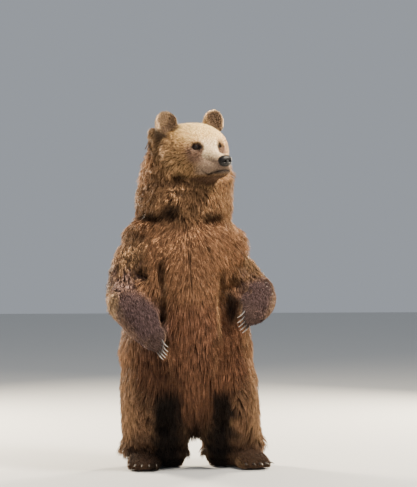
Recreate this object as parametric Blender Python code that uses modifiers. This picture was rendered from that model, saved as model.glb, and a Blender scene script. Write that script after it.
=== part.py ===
"""A brown bear standing upright on its hind legs, life size, as a museum model.

Metres, +Z up. The bear faces -Y, so its own left side is +X, and its soles are at z = 0.
Every outline is the outside of the coat. The body is modelled whole: lofted masses are
blended into one closed form, and thin cuts part it into the parts a person would name.
"""

import math
from typing import NamedTuple

import bmesh
import bpy
import numpy as np
from mathutils import Matrix, Vector

# ---------------------------------------------------------------- driving dimensions

GAP = 0.0006  # between a part and the pocket that it is bedded in
CUT = 0.0008  # thickness of the cuts that part the body
TRUNK_VOXEL = 0.012  # grain at which the masses of trunk and legs are blended
HEAD_VOXEL = 0.007
BODY_VOXEL = 0.008
LIMB_VOXEL = 0.006
BODY_TRIANGLES = 2460
ARM_TRIANGLES = 350
EAR_TRIANGLES = 180
TAIL_TRIANGLES = 60
NOSE_TRIANGLES = 100

HEAD_CENTRE = Vector((0.004, -0.080, 1.600))  # middle of the head at eye height, between the ears
HEAD_YAW = math.radians(30)  # the head looks to the bear's left
HEAD_ROLL = math.radians(4)  # and its left ear is a little higher

EYE_AT = Vector((0.144, 0.064, -0.003))  # in the head's own forward, left and up
EYE_RADIUS = 0.0125
EYE_OUTWARD = math.radians(34)
SOCKET_SIZE = Vector((0.018, 0.024, 0.0155))
SOCKET_OUT = 0.015  # how far the socket's middle lies in front of the eye's

EAR_AT = Vector((0.018, 0.142, 0.115))
EAR_SIZE = Vector((0.028, 0.058, 0.070))  # half thickness, half width, half height
EAR_DISH = Vector((0.026, 0.038, 0.046))  # the hollow in its front
EAR_OUTWARD = math.radians(6)
EAR_SPLAY = math.radians(10)

DIGITS = 5
FOOT_WIDTH = 0.176
TOE_PITCH = 0.0315  # from the middle of one toe to the next
TOE_SIZE = Vector((0.0195, 0.038, 0.027))
TOE_FAN = 0.10  # turn from one toe to the next, in radians
TOES_FORWARD = 0.268  # from the heel to the middle toe's tip
TOE_HEIGHT = 0.034
TOE_CURVE = 0.005  # how far the row of toes falls back, times the square of the toe's place in it
FINGER_PITCH = 0.0245
FINGER_SIZE = Vector((0.0150, 0.0185, 0.030))
FINGER_FAN = 0.04
FINGER_OUT = 0.004  # how far the fingers' tips lie off the middle line, and beyond its end
FINGER_CURVE = 0.003

FORE_CLAW = 0.058  # length along the claw's curve, root included
HIND_CLAW = 0.046
CLAW_ROOT = 0.014  # of that, inside the toe
CLAW_RADIUS = 0.0078  # half its depth at the root
CLAW_FLATNESS = 0.72  # width as a share of depth
CLAW_TAPER = 0.84  # share of the thickness that is lost by the tip
CLAW_BEND = math.radians(48)
CLAW_CREST = 0.50  # where along its curve the claw is level with its toe
CLAW_BED = 0.008  # how far its root lies behind the toe's tip

FUR_COLOUR, FUR_ROUGHNESS = (0.23, 0.12, 0.06), 0.9
NOSE_COLOUR, NOSE_ROUGHNESS = (0.012, 0.010, 0.010), 0.35
EYE_COLOUR, EYE_ROUGHNESS = (0.030, 0.014, 0.006), 0.08
CLAW_COLOUR, CLAW_ROUGHNESS = (0.42, 0.36, 0.28), 0.45


class Section(NamedTuple):
    """One cross-section of a mass: an oval about a point on the mass's own middle line.

    low and high are its two half depths: front and back of an upright mass, or below and
    above the middle line of one that lies level.
    """

    at: tuple
    wide: float
    low: float
    high: float


# ---------------------------------------------------------------- sections of each mass

TRUNK = (
    Section((0.000, 0.030, 0.360), 0.240, 0.170, 0.160),
    Section((0.000, 0.025, 0.450), 0.312, 0.235, 0.225),
    Section((-0.004, 0.010, 0.580), 0.340, 0.268, 0.252),
    Section((0.000, 0.000, 0.720), 0.322, 0.276, 0.236),
    Section((0.000, -0.010, 0.860), 0.300, 0.266, 0.220),
    Section((0.000, -0.010, 1.000), 0.284, 0.255, 0.222),
    Section((0.000, 0.000, 1.120), 0.276, 0.240, 0.238),
    Section((0.000, 0.010, 1.220), 0.240, 0.200, 0.232),
    Section((0.000, 0.010, 1.300), 0.185, 0.150, 0.190),
)
BELLY = (
    Section((0.010, -0.090, 0.320), 0.080, 0.090, 0.080),
    Section((0.008, -0.140, 0.430), 0.130, 0.120, 0.100),
    Section((0.005, -0.165, 0.600), 0.152, 0.152, 0.120),
    Section((0.000, -0.170, 0.800), 0.146, 0.134, 0.120),
    Section((0.000, -0.155, 1.000), 0.150, 0.114, 0.120),
    Section((0.000, -0.120, 1.160), 0.140, 0.095, 0.120),
)
NECK = (
    Section((-0.008, 0.030, 1.120), 0.180, 0.150, 0.205),
    Section((-0.018, 0.020, 1.215), 0.231, 0.195, 0.225),
    Section((-0.015, 0.000, 1.310), 0.252, 0.228, 0.222),
    Section((-0.009, -0.015, 1.400), 0.247, 0.212, 0.208),
    Section((-0.003, -0.030, 1.490), 0.235, 0.174, 0.190),
    Section((0.002, -0.040, 1.570), 0.217, 0.120, 0.168),
    Section((0.000, -0.045, 1.640), 0.190, 0.090, 0.120),
)
SHOULDERS = (  # middle and half extents of each
    (Vector((-0.172, 0.012, 1.152)), Vector((0.157, 0.150, 0.125))),
    (Vector((0.166, 0.012, 1.122)), Vector((0.143, 0.150, 0.125))),
)
FLANK_AT = Vector((0.205, -0.080, 0.800))
FLANK_SIZE = Vector((0.115, 0.150, 0.230))

RIGHT_ARM = (
    Section((-0.195, 0.008, 1.145), 0.112, 0.140, 0.140),
    Section((-0.258, -0.006, 1.030), 0.116, 0.144, 0.144),
    Section((-0.297, -0.035, 0.925), 0.107, 0.126, 0.126),
    Section((-0.300, -0.090, 0.846), 0.108, 0.106, 0.108),
    Section((-0.266, -0.165, 0.793), 0.107, 0.095, 0.097),
    Section((-0.240, -0.225, 0.748), 0.098, 0.086, 0.086),
    Section((-0.207, -0.285, 0.702), 0.085, 0.071, 0.070),
    Section((-0.189, -0.320, 0.674), 0.072, 0.054, 0.054),
    Section((-0.170, -0.338, 0.652), 0.068, 0.040, 0.042),
    Section((-0.160, -0.347, 0.638), 0.060, 0.030, 0.030),
)
LEFT_ARM = (
    Section((0.172, 0.008, 1.120), 0.106, 0.138, 0.138),
    Section((0.209, -0.004, 1.030), 0.102, 0.140, 0.140),
    Section((0.281, -0.035, 0.945), 0.098, 0.120, 0.120),
    Section((0.335, -0.085, 0.876), 0.091, 0.104, 0.104),
    Section((0.336, -0.165, 0.851), 0.094, 0.096, 0.092),
    Section((0.325, -0.225, 0.843), 0.091, 0.083, 0.082),
    Section((0.305, -0.280, 0.817), 0.087, 0.070, 0.068),
    Section((0.282, -0.316, 0.798), 0.079, 0.056, 0.056),
    Section((0.266, -0.334, 0.780), 0.073, 0.041, 0.043),
    Section((0.252, -0.343, 0.766), 0.062, 0.030, 0.030),
)
ELBOW, WRIST = 3, 7  # the sections at which the arm is parted
RIGHT_PAW_ACROSS = Vector((0.28, -0.88, 0.38))  # the forearms turn the paws' backs outwards
LEFT_PAW_ACROSS = Vector((0.48, 0.74, -0.47))

RIGHT_LEG = (
    Section((-0.150, 0.010, 0.620), 0.150, 0.210, 0.210),
    Section((-0.163, 0.000, 0.480), 0.174, 0.215, 0.235),
    Section((-0.158, -0.010, 0.360), 0.180, 0.205, 0.215),
    Section((-0.151, 0.020, 0.240), 0.182, 0.168, 0.162),
    Section((-0.152, 0.056, 0.140), 0.176, 0.128, 0.116),
    Section((-0.184, 0.064, 0.052), 0.174, 0.112, 0.098),
)
LEFT_LEG = (
    Section((0.160, 0.010, 0.620), 0.150, 0.210, 0.210),
    Section((0.180, 0.000, 0.480), 0.168, 0.215, 0.235),
    Section((0.196, -0.010, 0.360), 0.166, 0.205, 0.215),
    Section((0.211, 0.020, 0.240), 0.166, 0.168, 0.162),
    Section((0.234, 0.056, 0.140), 0.163, 0.128, 0.116),
    Section((0.276, 0.064, 0.054), 0.163, 0.112, 0.098),
)
FEET = (  # heel, and how far the toes turn out
    (Vector((-0.172, 0.150, -0.008)), math.radians(12)),
    (Vector((0.250, 0.150, -0.008)), math.radians(20)),
)
FOOT = (  # distance from the heel, share of the full width, height
    (0.020, 0.78, 0.100),
    (0.090, 0.86, 0.128),
    (0.170, 0.94, 0.118),
    (0.240, 1.02, 0.090),
    (0.275, 0.94, 0.068),
)

TAIL = (
    Section((0.0, 0.215, 0.690), 0.034, 0.026, 0.026),
    Section((0.0, 0.255, 0.655), 0.036, 0.026, 0.026),
    Section((0.0, 0.283, 0.605), 0.032, 0.022, 0.022),
    Section((0.0, 0.288, 0.560), 0.018, 0.012, 0.012),
)

# The head's own frame is forward, left and up from HEAD_CENTRE; at holds those three.
SKULL = (
    Section((-0.140, 0.0, -0.040), 0.165, 0.110, 0.105),
    Section((-0.075, 0.0, -0.035), 0.190, 0.150, 0.145),
    Section((0.000, 0.0, -0.035), 0.196, 0.160, 0.160),
    Section((0.055, 0.0, -0.038), 0.200, 0.156, 0.156),
    Section((0.095, 0.0, -0.042), 0.176, 0.142, 0.134),
    Section((0.128, 0.0, -0.050), 0.132, 0.122, 0.106),
    Section((0.155, 0.0, -0.060), 0.088, 0.102, 0.080),
)
BRIDGE = (  # the upper muzzle, from the forehead to the nose
    Section((0.100, 0.0, -0.020), 0.060, 0.070, 0.096),
    Section((0.140, 0.0, -0.032), 0.052, 0.070, 0.070),
    Section((0.187, 0.0, -0.054), 0.045, 0.060, 0.052),
    Section((0.220, 0.0, -0.068), 0.041, 0.055, 0.045),
    Section((0.255, 0.0, -0.080), 0.038, 0.045, 0.039),
    Section((0.285, 0.0, -0.086), 0.034, 0.035, 0.031),
)
JAWS = (  # the wider lower muzzle, lips and chin
    Section((0.080, 0.0, -0.108), 0.105, 0.084, 0.080),
    Section((0.130, 0.0, -0.110), 0.090, 0.074, 0.070),
    Section((0.180, 0.0, -0.111), 0.073, 0.062, 0.056),
    Section((0.225, 0.0, -0.113), 0.061, 0.052, 0.046),
    Section((0.258, 0.0, -0.115), 0.053, 0.043, 0.042),
    Section((0.280, 0.0, -0.114), 0.044, 0.028, 0.036),
    Section((0.291, 0.0, -0.112), 0.031, 0.018, 0.028),
)
NOSE = (
    Section((0.268, 0.0, -0.077), 0.024, 0.020, 0.018),
    Section((0.286, 0.0, -0.077), 0.032, 0.028, 0.025),
    Section((0.302, 0.0, -0.078), 0.032, 0.027, 0.025),
    Section((0.311, 0.0, -0.080), 0.023, 0.018, 0.017),
)
CHEEK_AT = Vector((0.030, 0.106, -0.085))
CHEEK_SIZE = Vector((0.086, 0.088, 0.092))
BROW_AT = Vector((0.112, 0.062, 0.036))
BROW_SIZE = Vector((0.034, 0.044, 0.026))
RUFF_AT = Vector((-0.055, 0.168, 0.052))  # the long hair behind and below each ear
RUFF_SIZE = Vector((0.055, 0.044, 0.060))

# ---------------------------------------------------------------- helpers


def head_frame():
    """The matrix from the head's own forward, left and up to the model's axes."""
    forward_left_up = Matrix(((0, 1, 0), (-1, 0, 0), (0, 0, 1))).to_4x4()
    yaw = Matrix.Rotation(HEAD_YAW, 4, "Z")
    roll = Matrix.Rotation(HEAD_ROLL, 4, "X")
    return Matrix.Translation(HEAD_CENTRE) @ yaw @ forward_left_up @ roll


def mirrored(point, side):
    """A point of the left side, or for side -1 its twin on the right."""
    return Vector((point.x * side, point.y, point.z))


def mirrored_head(point, side):
    """The same for a point in the head's own frame, where left is the second number."""
    return Vector((point.x, point.y * side, point.z))


def new_object(name, mesh, collection):
    thing = bpy.data.objects.new(name, mesh)
    collection.objects.link(thing)
    return thing


def new_collection(name):
    collection = bpy.data.collections.new(name)
    bpy.context.scene.collection.children.link(collection)
    return collection


def mesh_from_bmesh(name, shape):
    mesh = bpy.data.meshes.new(name)
    bmesh.ops.recalc_face_normals(shape, faces=shape.faces)
    shape.to_mesh(mesh)
    shape.free()
    return mesh


def smooth_sections(sections, steps):
    """The sections joined by a Catmull-Rom curve, with steps stations to each interval."""
    rows = np.array([(*s.at, s.wide, s.low, s.high) for s in sections])
    rows = np.vstack((2 * rows[0] - rows[1], rows, 2 * rows[-1] - rows[-2]))
    stations = []
    for i in range(1, len(rows) - 2):
        p0, p1, p2, p3 = rows[i - 1 : i + 3]
        for step in range(steps):
            t = step / steps
            bend = 2 * p0 - 5 * p1 + 4 * p2 - p3
            twist = -p0 + 3 * p1 - 3 * p2 + p3
            stations.append(0.5 * (2 * p1 + (p2 - p0) * t + bend * t**2 + twist * t**3))
    stations.append(rows[-2])
    return np.array(stations)


def loft(sections, side, steps=4, around=28, squareness=2.2, end_side=None):
    """A closed mass through the sections.

    side is the direction of their width; it turns gradually into end_side, if there is one.
    """
    stations = smooth_sections(sections, steps)
    centres = stations[:, :3]
    tangents = np.gradient(centres, axis=0)
    shape = bmesh.new()
    rings = []
    power = 2 / squareness
    turned = np.linspace(0.0, 1.0, len(stations)) ** 2
    for centre, tangent, share, sizes in zip(centres, tangents, turned, stations[:, 3:]):
        wide, low, high = sizes
        along = Vector(tangent).normalized()
        width_way = side.slerp(end_side, share) if end_side else side
        across = (width_way - along * width_way.dot(along)).normalized()
        depth = along.cross(across)
        ring = []
        for k in range(around):
            angle = math.tau * k / around
            c, s = math.cos(angle), math.sin(angle)
            reach = wide * math.copysign(abs(c) ** power, c)
            rise = (high if s > 0 else low) * math.copysign(abs(s) ** power, s)
            ring.append(shape.verts.new(Vector(centre) + across * reach + depth * rise))
        rings.append(ring)
    for near, far in zip(rings, rings[1:]):
        for k in range(around):
            after = (k + 1) % around
            shape.faces.new((near[k], near[after], far[after], far[k]))
    for ring, station, tangent, way in (
        (rings[0], stations[0], tangents[0], -1),
        (rings[-1], stations[-1], tangents[-1], 1),
    ):
        bulge = 0.45 * (station[4] + station[5]) / 2
        pole = shape.verts.new(Vector(station[:3]) + Vector(tangent).normalized() * bulge * way)
        for k in range(around):
            shape.faces.new((ring[k], ring[(k + 1) % around], pole))
    return shape


def ellipsoid(centre, sizes, turn=None):
    """An oval ball; sizes are its half extents, turn a rotation about its own centre."""
    shape = bmesh.new()
    bmesh.ops.create_uvsphere(shape, u_segments=28, v_segments=18, radius=1.0)
    place = Matrix.Translation(centre) @ (turn or Matrix()) @ Matrix.Diagonal((*sizes, 1.0))
    bmesh.ops.transform(shape, matrix=place, verts=shape.verts)
    return shape


def joined(name, shapes):
    """One mesh that holds every shape, still as loose overlapping bodies."""
    whole = bmesh.new()
    for shape in shapes:
        bmesh.ops.recalc_face_normals(shape, faces=shape.faces)
        part = bpy.data.meshes.new("part")
        shape.to_mesh(part)
        shape.free()
        whole.from_mesh(part)
        bpy.data.meshes.remove(part)
    return mesh_from_bmesh(name, whole)


def evaluated(thing):
    """The object's mesh after its modifiers, as a mesh of its own."""
    graph = bpy.context.evaluated_depsgraph_get()
    return bpy.data.meshes.new_from_object(thing.evaluated_get(graph))


def applied(thing):
    """Keeps the object, with the result of its modifiers as its mesh."""
    mesh = evaluated(thing)
    old = thing.data
    thing.modifiers.clear()
    thing.data = mesh
    bpy.data.meshes.remove(old)
    return thing


def blended(thing, voxel, rounds, strength=0.5):
    """Fuses the object's overlapping bodies and softens where they meet."""
    remesh = thing.modifiers.new("fuse", "REMESH")
    remesh.mode = "VOXEL"
    remesh.voxel_size = voxel
    smooth = thing.modifiers.new("soften", "SMOOTH")
    smooth.factor = strength
    smooth.iterations = rounds
    return applied(thing)


def boolean(thing, cutter, operation="DIFFERENCE"):
    """Cuts the object by another, or joins them, and removes the cutter."""
    cut = thing.modifiers.new("cut", "BOOLEAN")
    cut.operation = operation
    cut.solver = "EXACT"
    cut.object = cutter
    applied(thing)
    bpy.data.objects.remove(cutter)
    return thing


def thinned(thing, triangles):
    """Fewer, larger triangles where the form is plain."""
    thing.data.calc_loop_triangles()
    fewer = thing.modifiers.new("thin", "DECIMATE")
    fewer.ratio = triangles / len(thing.data.loop_triangles)
    return applied(thing)


def hull(mesh):
    """The smallest convex mesh around another."""
    shape = bmesh.new()
    for corner in mesh.vertices:
        shape.verts.new(corner.co)
    bmesh.ops.convex_hull(shape, input=shape.verts)
    inside = [corner for corner in shape.verts if not corner.link_faces]
    bmesh.ops.delete(shape, geom=inside, context="VERTS")
    return mesh_from_bmesh("hull", shape)


def bed(guest, host, hollow=False):
    """Takes the guest's form, a gap larger, out of the host, so that they meet but don't overlap.

    A hollow guest takes out its hull, which also clears the host from its hollow.
    """
    form = hull(guest.data) if hollow else guest.data.copy()
    cutter = new_object("pocket", form, guest.users_collection[0])
    grow = cutter.modifiers.new("grow", "DISPLACE")
    grow.strength = GAP
    grow.mid_level = 0.0
    applied(cutter)
    return boolean(host, cutter)


def thin_cut(thing, centre, normal, half_width, half_height, across):
    """Parts the object along a thin rectangle, whose width runs along across."""
    facing = normal.normalized()
    width_way = (across - facing * across.dot(facing)).normalized()
    height_way = facing.cross(width_way)
    turn = Matrix((width_way, height_way, facing)).transposed().to_4x4()
    shape = bmesh.new()
    bmesh.ops.create_cube(shape, size=1.0)
    size = Matrix.Diagonal((2 * half_width, 2 * half_height, CUT, 1.0))
    bmesh.ops.transform(shape, matrix=Matrix.Translation(centre) @ turn @ size, verts=shape.verts)
    cutter = new_object("slit", mesh_from_bmesh("slit", shape), thing.users_collection[0])
    return boolean(thing, cutter)


def islands(shape):
    """The sets of faces that hang together."""
    left = set(shape.faces)
    groups = []
    while left:
        group = {left.pop()}
        edge_of_group = list(group)
        while edge_of_group:
            face = edge_of_group.pop()
            for edge in face.edges:
                for other in edge.link_faces:
                    if other in left:
                        left.remove(other)
                        group.add(other)
                        edge_of_group.append(other)
        groups.append(group)
    return groups


def parted(thing, seeds):
    """Gives each loose body of the object its own node, named by the nearest seed point."""
    shape = bmesh.new()
    shape.from_mesh(thing.data)
    shape.faces.ensure_lookup_table()
    groups = islands(shape)
    if len(groups) != len(seeds):
        raise ValueError(f"{thing.name}: {len(groups)} bodies for {len(seeds)} names")
    parts = {}
    for group in groups:
        points = np.array([v.co for face in group for v in face.verts])
        middle = Vector((points.min(axis=0) + points.max(axis=0)) / 2)
        name = min(seeds, key=lambda key: (seeds[key] - middle).length)
        if name in parts:
            raise ValueError(f"two bodies are nearest to {name}")
        piece = shape.copy()
        keep = {face.index for face in group}
        piece.faces.ensure_lookup_table()
        loose = [face for face in piece.faces if face.index not in keep]
        bmesh.ops.delete(piece, geom=loose, context="FACES")
        parts[name] = new_object(name, mesh_from_bmesh(name, piece), thing.users_collection[0])
    shape.free()
    bpy.data.objects.remove(thing)
    return parts


def material(name, colour, roughness):
    finish = bpy.data.materials.new(name)
    finish.use_nodes = True
    shader = finish.node_tree.nodes["Principled BSDF"]
    shader.inputs["Base Color"].default_value = (*colour, 1.0)
    shader.inputs["Roughness"].default_value = roughness
    return finish


# ---------------------------------------------------------------- trunk, legs and head

ACROSS = Vector((1, 0, 0))  # the bear's own left
UP = Vector((0, 0, 1))


def foot_turn(side):
    heel, toe_out = FEET[side > 0]
    return Matrix.Translation(heel) @ Matrix.Rotation(side * toe_out, 4, "Z")


def foot(side):
    """A hind foot: a long flat sole from heel to toes, with a rounded tip to each toe."""
    turn = foot_turn(side)
    sections = []
    for along, share, height in FOOT:
        middle = turn @ Vector((0.0, 0.02 - along, height / 2))
        sections.append(Section(tuple(middle), FOOT_WIDTH / 2 * share, height / 2, height / 2))
    shapes = [loft(sections, turn.to_3x3() @ ACROSS, squareness=2.6)]
    for place in toe_places(side):
        shapes.append(ellipsoid(place.translation, TOE_SIZE, place.to_3x3().to_4x4()))
    return shapes


def toe_places(side):
    """A matrix for each toe's tip: x across the foot, y backwards, z up."""
    turn = foot_turn(side)
    places = []
    for k in range(DIGITS):
        offset = k - (DIGITS - 1) / 2
        back = TOE_CURVE * offset**2
        tip = Vector((offset * TOE_PITCH, back - TOES_FORWARD, TOE_HEIGHT))
        fan = Matrix.Rotation(TOE_FAN * offset, 4, "Z")
        places.append(turn @ Matrix.Translation(tip) @ fan)
    return places


def trunk_and_legs(collection):
    shapes = [
        loft(TRUNK, ACROSS),
        loft(BELLY, ACROSS),
        loft(NECK, ACROSS, squareness=2.05),
        loft(RIGHT_LEG, ACROSS),
        loft(LEFT_LEG, ACROSS),
    ]
    for side in (-1, 1):
        shapes.append(ellipsoid(*SHOULDERS[side > 0]))
        shapes.append(ellipsoid(mirrored(FLANK_AT, side), FLANK_SIZE))
    trunk = new_object("trunk_mass", joined("trunk_mass", shapes), collection)
    blended(trunk, TRUNK_VOXEL, 12)
    feet = new_object("feet", joined("feet", foot(-1) + foot(1)), collection)
    return trunk, blended(feet, LIMB_VOXEL, 4)


def eye_place(side):
    """The eye's own frame within the head's: x looks out of the socket."""
    out = Matrix.Rotation(side * EYE_OUTWARD, 4, "Z")
    return Matrix.Translation(mirrored_head(EYE_AT, side)) @ out


def head_mass(collection, frame):
    level = Vector((0, 1, 0))
    shapes = [
        loft(SKULL, level),
        loft(BRIDGE, level, squareness=2.1),
        loft(JAWS, level, squareness=2.2),
    ]
    for side in (-1, 1):
        shapes.append(ellipsoid(mirrored_head(CHEEK_AT, side), CHEEK_SIZE))
        shapes.append(ellipsoid(mirrored_head(BROW_AT, side), BROW_SIZE))
        shapes.append(ellipsoid(mirrored_head(RUFF_AT, side), RUFF_SIZE))
    head = new_object("head_mass", joined("head_mass", shapes), collection)
    blended(head, HEAD_VOXEL, 8)
    for side in (-1, 1):
        place = eye_place(side)
        middle = place @ Vector((SOCKET_OUT, 0, 0))
        hollow = ellipsoid(middle, SOCKET_SIZE, place.to_3x3().to_4x4())
        boolean(head, new_object("socket", mesh_from_bmesh("socket", hollow), collection))
    head.data.transform(frame)
    return head


def whole_body(collection, frame):
    """Trunk, neck, legs, feet and head as one closed form, with flat soles at z = 0."""
    pieces = [*trunk_and_legs(collection), head_mass(collection, frame)]
    whole = bmesh.new()
    for piece in pieces:
        whole.from_mesh(piece.data)
        bpy.data.objects.remove(piece)
    body = new_object("body", mesh_from_bmesh("body", whole), collection)
    blended(body, BODY_VOXEL, 3)
    thinned(body, BODY_TRIANGLES)
    sole = bmesh.new()
    sole.from_mesh(body.data)
    everything = list(sole.verts) + list(sole.edges) + list(sole.faces)
    bmesh.ops.bisect_plane(sole, geom=everything, plane_co=(0, 0, 0), plane_no=UP, clear_inner=True)
    bmesh.ops.holes_fill(sole, edges=[edge for edge in sole.edges if edge.is_boundary])
    body.data = mesh_from_bmesh("body", sole)
    return body


# ---------------------------------------------------------------- arms, ears, tail, claws, eyes


def place_at(sections, index, side):
    """A matrix at a section: x across it by side, y through its depth, z along the limb."""
    stations = smooth_sections(sections, 1)[:, :3]
    tangent = Vector(np.gradient(stations, axis=0)[index]).normalized()
    across = (side - tangent * side.dot(tangent)).normalized()
    turn = Matrix((across, tangent.cross(across), tangent)).transposed().to_4x4()
    return Matrix.Translation(stations[index]) @ turn


def finger_places(sections, paw_across):
    """A matrix for each finger's tip: x across the paw, y out of its back, z along the finger."""
    end = place_at(sections, -1, paw_across)
    places = []
    for k in range(DIGITS):
        offset = k - (DIGITS - 1) / 2
        beyond = FINGER_OUT - FINGER_CURVE * offset**2
        tip = Vector((offset * FINGER_PITCH, FINGER_OUT, beyond))
        fan = Matrix.Rotation(FINGER_FAN * offset, 4, "Y")
        places.append(end @ Matrix.Translation(tip) @ fan)
    return places


def arm(name, sections, paw_across, collection):
    shapes = [loft(sections, ACROSS, end_side=paw_across.normalized())]
    for place in finger_places(sections, paw_across):
        shapes.append(ellipsoid(place.translation, FINGER_SIZE, place.to_3x3().to_4x4()))
    limb = new_object(name, joined(name, shapes), collection)
    blended(limb, LIMB_VOXEL, 5)
    return thinned(limb, ARM_TRIANGLES)


def ear(side, collection, frame):
    """A thick round ear, hollowed in front, standing on its corner of the skull."""
    name = "ear_left" if side > 0 else "ear_right"
    turn = Matrix.Rotation(side * EAR_OUTWARD, 4, "Z") @ Matrix.Rotation(-side * EAR_SPLAY, 4, "X")
    centre = mirrored_head(EAR_AT, side)
    before = turn @ Vector((EAR_SIZE.x, 0.0, 0.006))
    shell = new_object(name, mesh_from_bmesh(name, ellipsoid(centre, EAR_SIZE, turn)), collection)
    dish = mesh_from_bmesh("dish", ellipsoid(centre + before, EAR_DISH, turn))
    boolean(shell, new_object("dish", dish, collection))
    blended(shell, LIMB_VOXEL, 3)
    thinned(shell, EAR_TRIANGLES)
    shell.data.transform(frame)
    return shell


def tail(collection):
    stump = new_object("tail", mesh_from_bmesh("tail", loft(TAIL, ACROSS)), collection)
    return thinned(stump, TAIL_TRIANGLES)


def claw(name, place, length, collection):
    """A curved, tapering claw. place: x across it, y out of the back of the toe, z along it."""
    stations = 4
    radius = length / CLAW_BEND
    crest = CLAW_CREST * CLAW_BEND
    sections = []
    for k in range(stations):
        share = k / (stations - 1)
        angle = CLAW_BEND * share - crest
        out = radius * (math.cos(angle) - math.cos(crest))
        along = radius * (math.sin(angle) + math.sin(crest)) - CLAW_ROOT
        thick = CLAW_RADIUS * (1.0 - CLAW_TAPER * share)
        point = place @ Vector((0.0, out, along))
        sections.append(Section(tuple(point), CLAW_FLATNESS * thick, thick, thick))
    shape = loft(sections, place.to_3x3() @ Vector((1, 0, 0)), steps=1, around=6, squareness=2.0)
    return new_object(name, mesh_from_bmesh(name, shape), collection)


def eye(side, collection, frame):
    name = "eye_left" if side > 0 else "eye_right"
    shape = bmesh.new()
    bmesh.ops.create_uvsphere(shape, u_segments=10, v_segments=6, radius=EYE_RADIUS)
    bmesh.ops.transform(shape, matrix=frame @ eye_place(side), verts=shape.verts)
    return new_object(name, mesh_from_bmesh(name, shape), collection)


def nose(collection, frame):
    pad = new_object("nose", mesh_from_bmesh("nose", loft(NOSE, Vector((0, 1, 0)))), collection)
    pad.data.transform(frame)
    return thinned(pad, NOSE_TRIANGLES)


# ---------------------------------------------------------------- the cuts between the parts

NECK_CUT = 1.250  # heights of the level cuts
CHEST_CUT = 0.860
KNEE_CUT = 0.245
ANKLE_CUT = 0.098
CROTCH = Vector((0.030, 0.0, 0.262))
HIPS = (Vector((-0.380, 0.0, 0.600)), Vector((0.380, 0.0, 0.600)))
BETWEEN_FEET = Vector((0.034, 0.0, -0.020))
NAPE = Vector((-0.100, 0.0, 0.110))  # in the head's own frame
THROAT = Vector((0.140, 0.0, -0.185))
MOUTH_CORNER = Vector((0.185, 0.0, -0.134))
MOUTH_FRONT = Vector((0.330, 0.0, -0.124))
JAW_BOTTOM = Vector((0.170, 0.0, -0.240))


def cut_between(thing, start, end, across, half_width, spare=0.0):
    """A thin cut that holds the line from start to end, and is level along across."""
    along = end - start
    normal = along.cross(across)
    middle = (start + end) / 2
    half = along.length / 2 + spare
    return thin_cut(thing, middle, normal, half_width, half, across)


def part_body(body, frame):
    sideways = frame.to_3x3() @ Vector((0, 1, 0))
    cut_between(body, frame @ NAPE, frame @ THROAT, sideways, 0.30, spare=0.075)
    cut_between(body, frame @ MOUTH_CORNER, frame @ MOUTH_FRONT, sideways, 0.12)
    cut_between(body, frame @ MOUTH_CORNER, frame @ JAW_BOTTOM, sideways, 0.12)
    depth = Vector((0, 1, 0))
    for height in (NECK_CUT, CHEST_CUT):
        thin_cut(body, UP * height, UP, 0.60, 0.60, ACROSS)
    for end in (BETWEEN_FEET, *HIPS):
        cut_between(body, CROTCH, end, depth, 0.45, spare=0.001)
    for height in (KNEE_CUT, ANKLE_CUT):
        thin_cut(body, UP * height, UP, 0.60, 0.60, ACROSS)
    seeds = {
        "head": frame @ Vector((0.08, 0.0, -0.02)),
        "lower_jaw": frame @ Vector((0.23, 0.0, -0.150)),
        "neck": Vector((0.0, 0.0, 1.42)),
        "chest": Vector((0.0, 0.0, 1.05)),
        "belly": Vector((0.0, 0.0, 0.56)),
        "thigh_right": Vector((-0.20, 0.0, 0.40)),
        "thigh_left": Vector((0.22, 0.0, 0.40)),
        "shank_right": Vector((-0.16, 0.04, 0.17)),
        "shank_left": Vector((0.22, 0.04, 0.17)),
        "hindfoot_right": Vector((-0.18, 0.0, 0.05)),
        "hindfoot_left": Vector((0.26, 0.0, 0.05)),
    }
    return parted(body, seeds)


def part_arm(limb, sections, side_name):
    for index in (ELBOW, WRIST):
        place = place_at(sections, index, ACROSS)
        turn = place.to_3x3()
        thin_cut(limb, place.translation, turn @ UP, 0.20, 0.20, turn @ ACROSS)
    seeds = {
        f"upper_arm_{side_name}": Vector(sections[1].at),
        f"forearm_{side_name}": Vector(sections[5].at),
        f"forepaw_{side_name}": Vector(sections[8].at),
    }
    return parted(limb, seeds)


def centred(things):
    """Moves the whole model so that the bottom centre of its box is the origin."""
    corners = np.vstack([np.array([v.co for v in thing.data.vertices]) for thing in things])
    lowest, highest = corners.min(axis=0), corners.max(axis=0)
    middle = (lowest + highest) / 2
    shift = Matrix.Translation((-middle[0], -middle[1], -lowest[2]))
    for thing in things:
        thing.data.transform(shift)


def claws(side_name, places, hosts, collection):
    """A claw on every finger or toe of one paw, each bedded in the paw."""
    made = {}
    for prefix, host, length, roots in (
        ("fore_claw", f"forepaw_{side_name}", FORE_CLAW, places["fingers"]),
        ("hind_claw", f"hindfoot_{side_name}", HIND_CLAW, places["toes"]),
    ):
        for k, root in enumerate(roots, start=1):
            name = f"{prefix}_{side_name}_{k}"
            made[name] = claw(name, root, length, collection)
            bed(made[name], hosts[host])
    return made


def claw_places(sections, paw_across, side):
    """Where the claws of one side start, at the ends of its fingers and toes."""
    finger_end = Matrix.Translation((0, 0.002, FINGER_SIZE.z - CLAW_BED))
    toe_end = Matrix.Translation((0, CLAW_BED - TOE_SIZE.y, 0.004))
    forward = Matrix.Rotation(math.radians(90), 4, "X")
    return {
        "fingers": [place @ finger_end for place in finger_places(sections, paw_across)],
        "toes": [place @ toe_end @ forward for place in toe_places(side)],
    }


def finished(things, finish):
    for thing in things:
        thing.data.materials.clear()
        thing.data.materials.append(finish)


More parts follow.
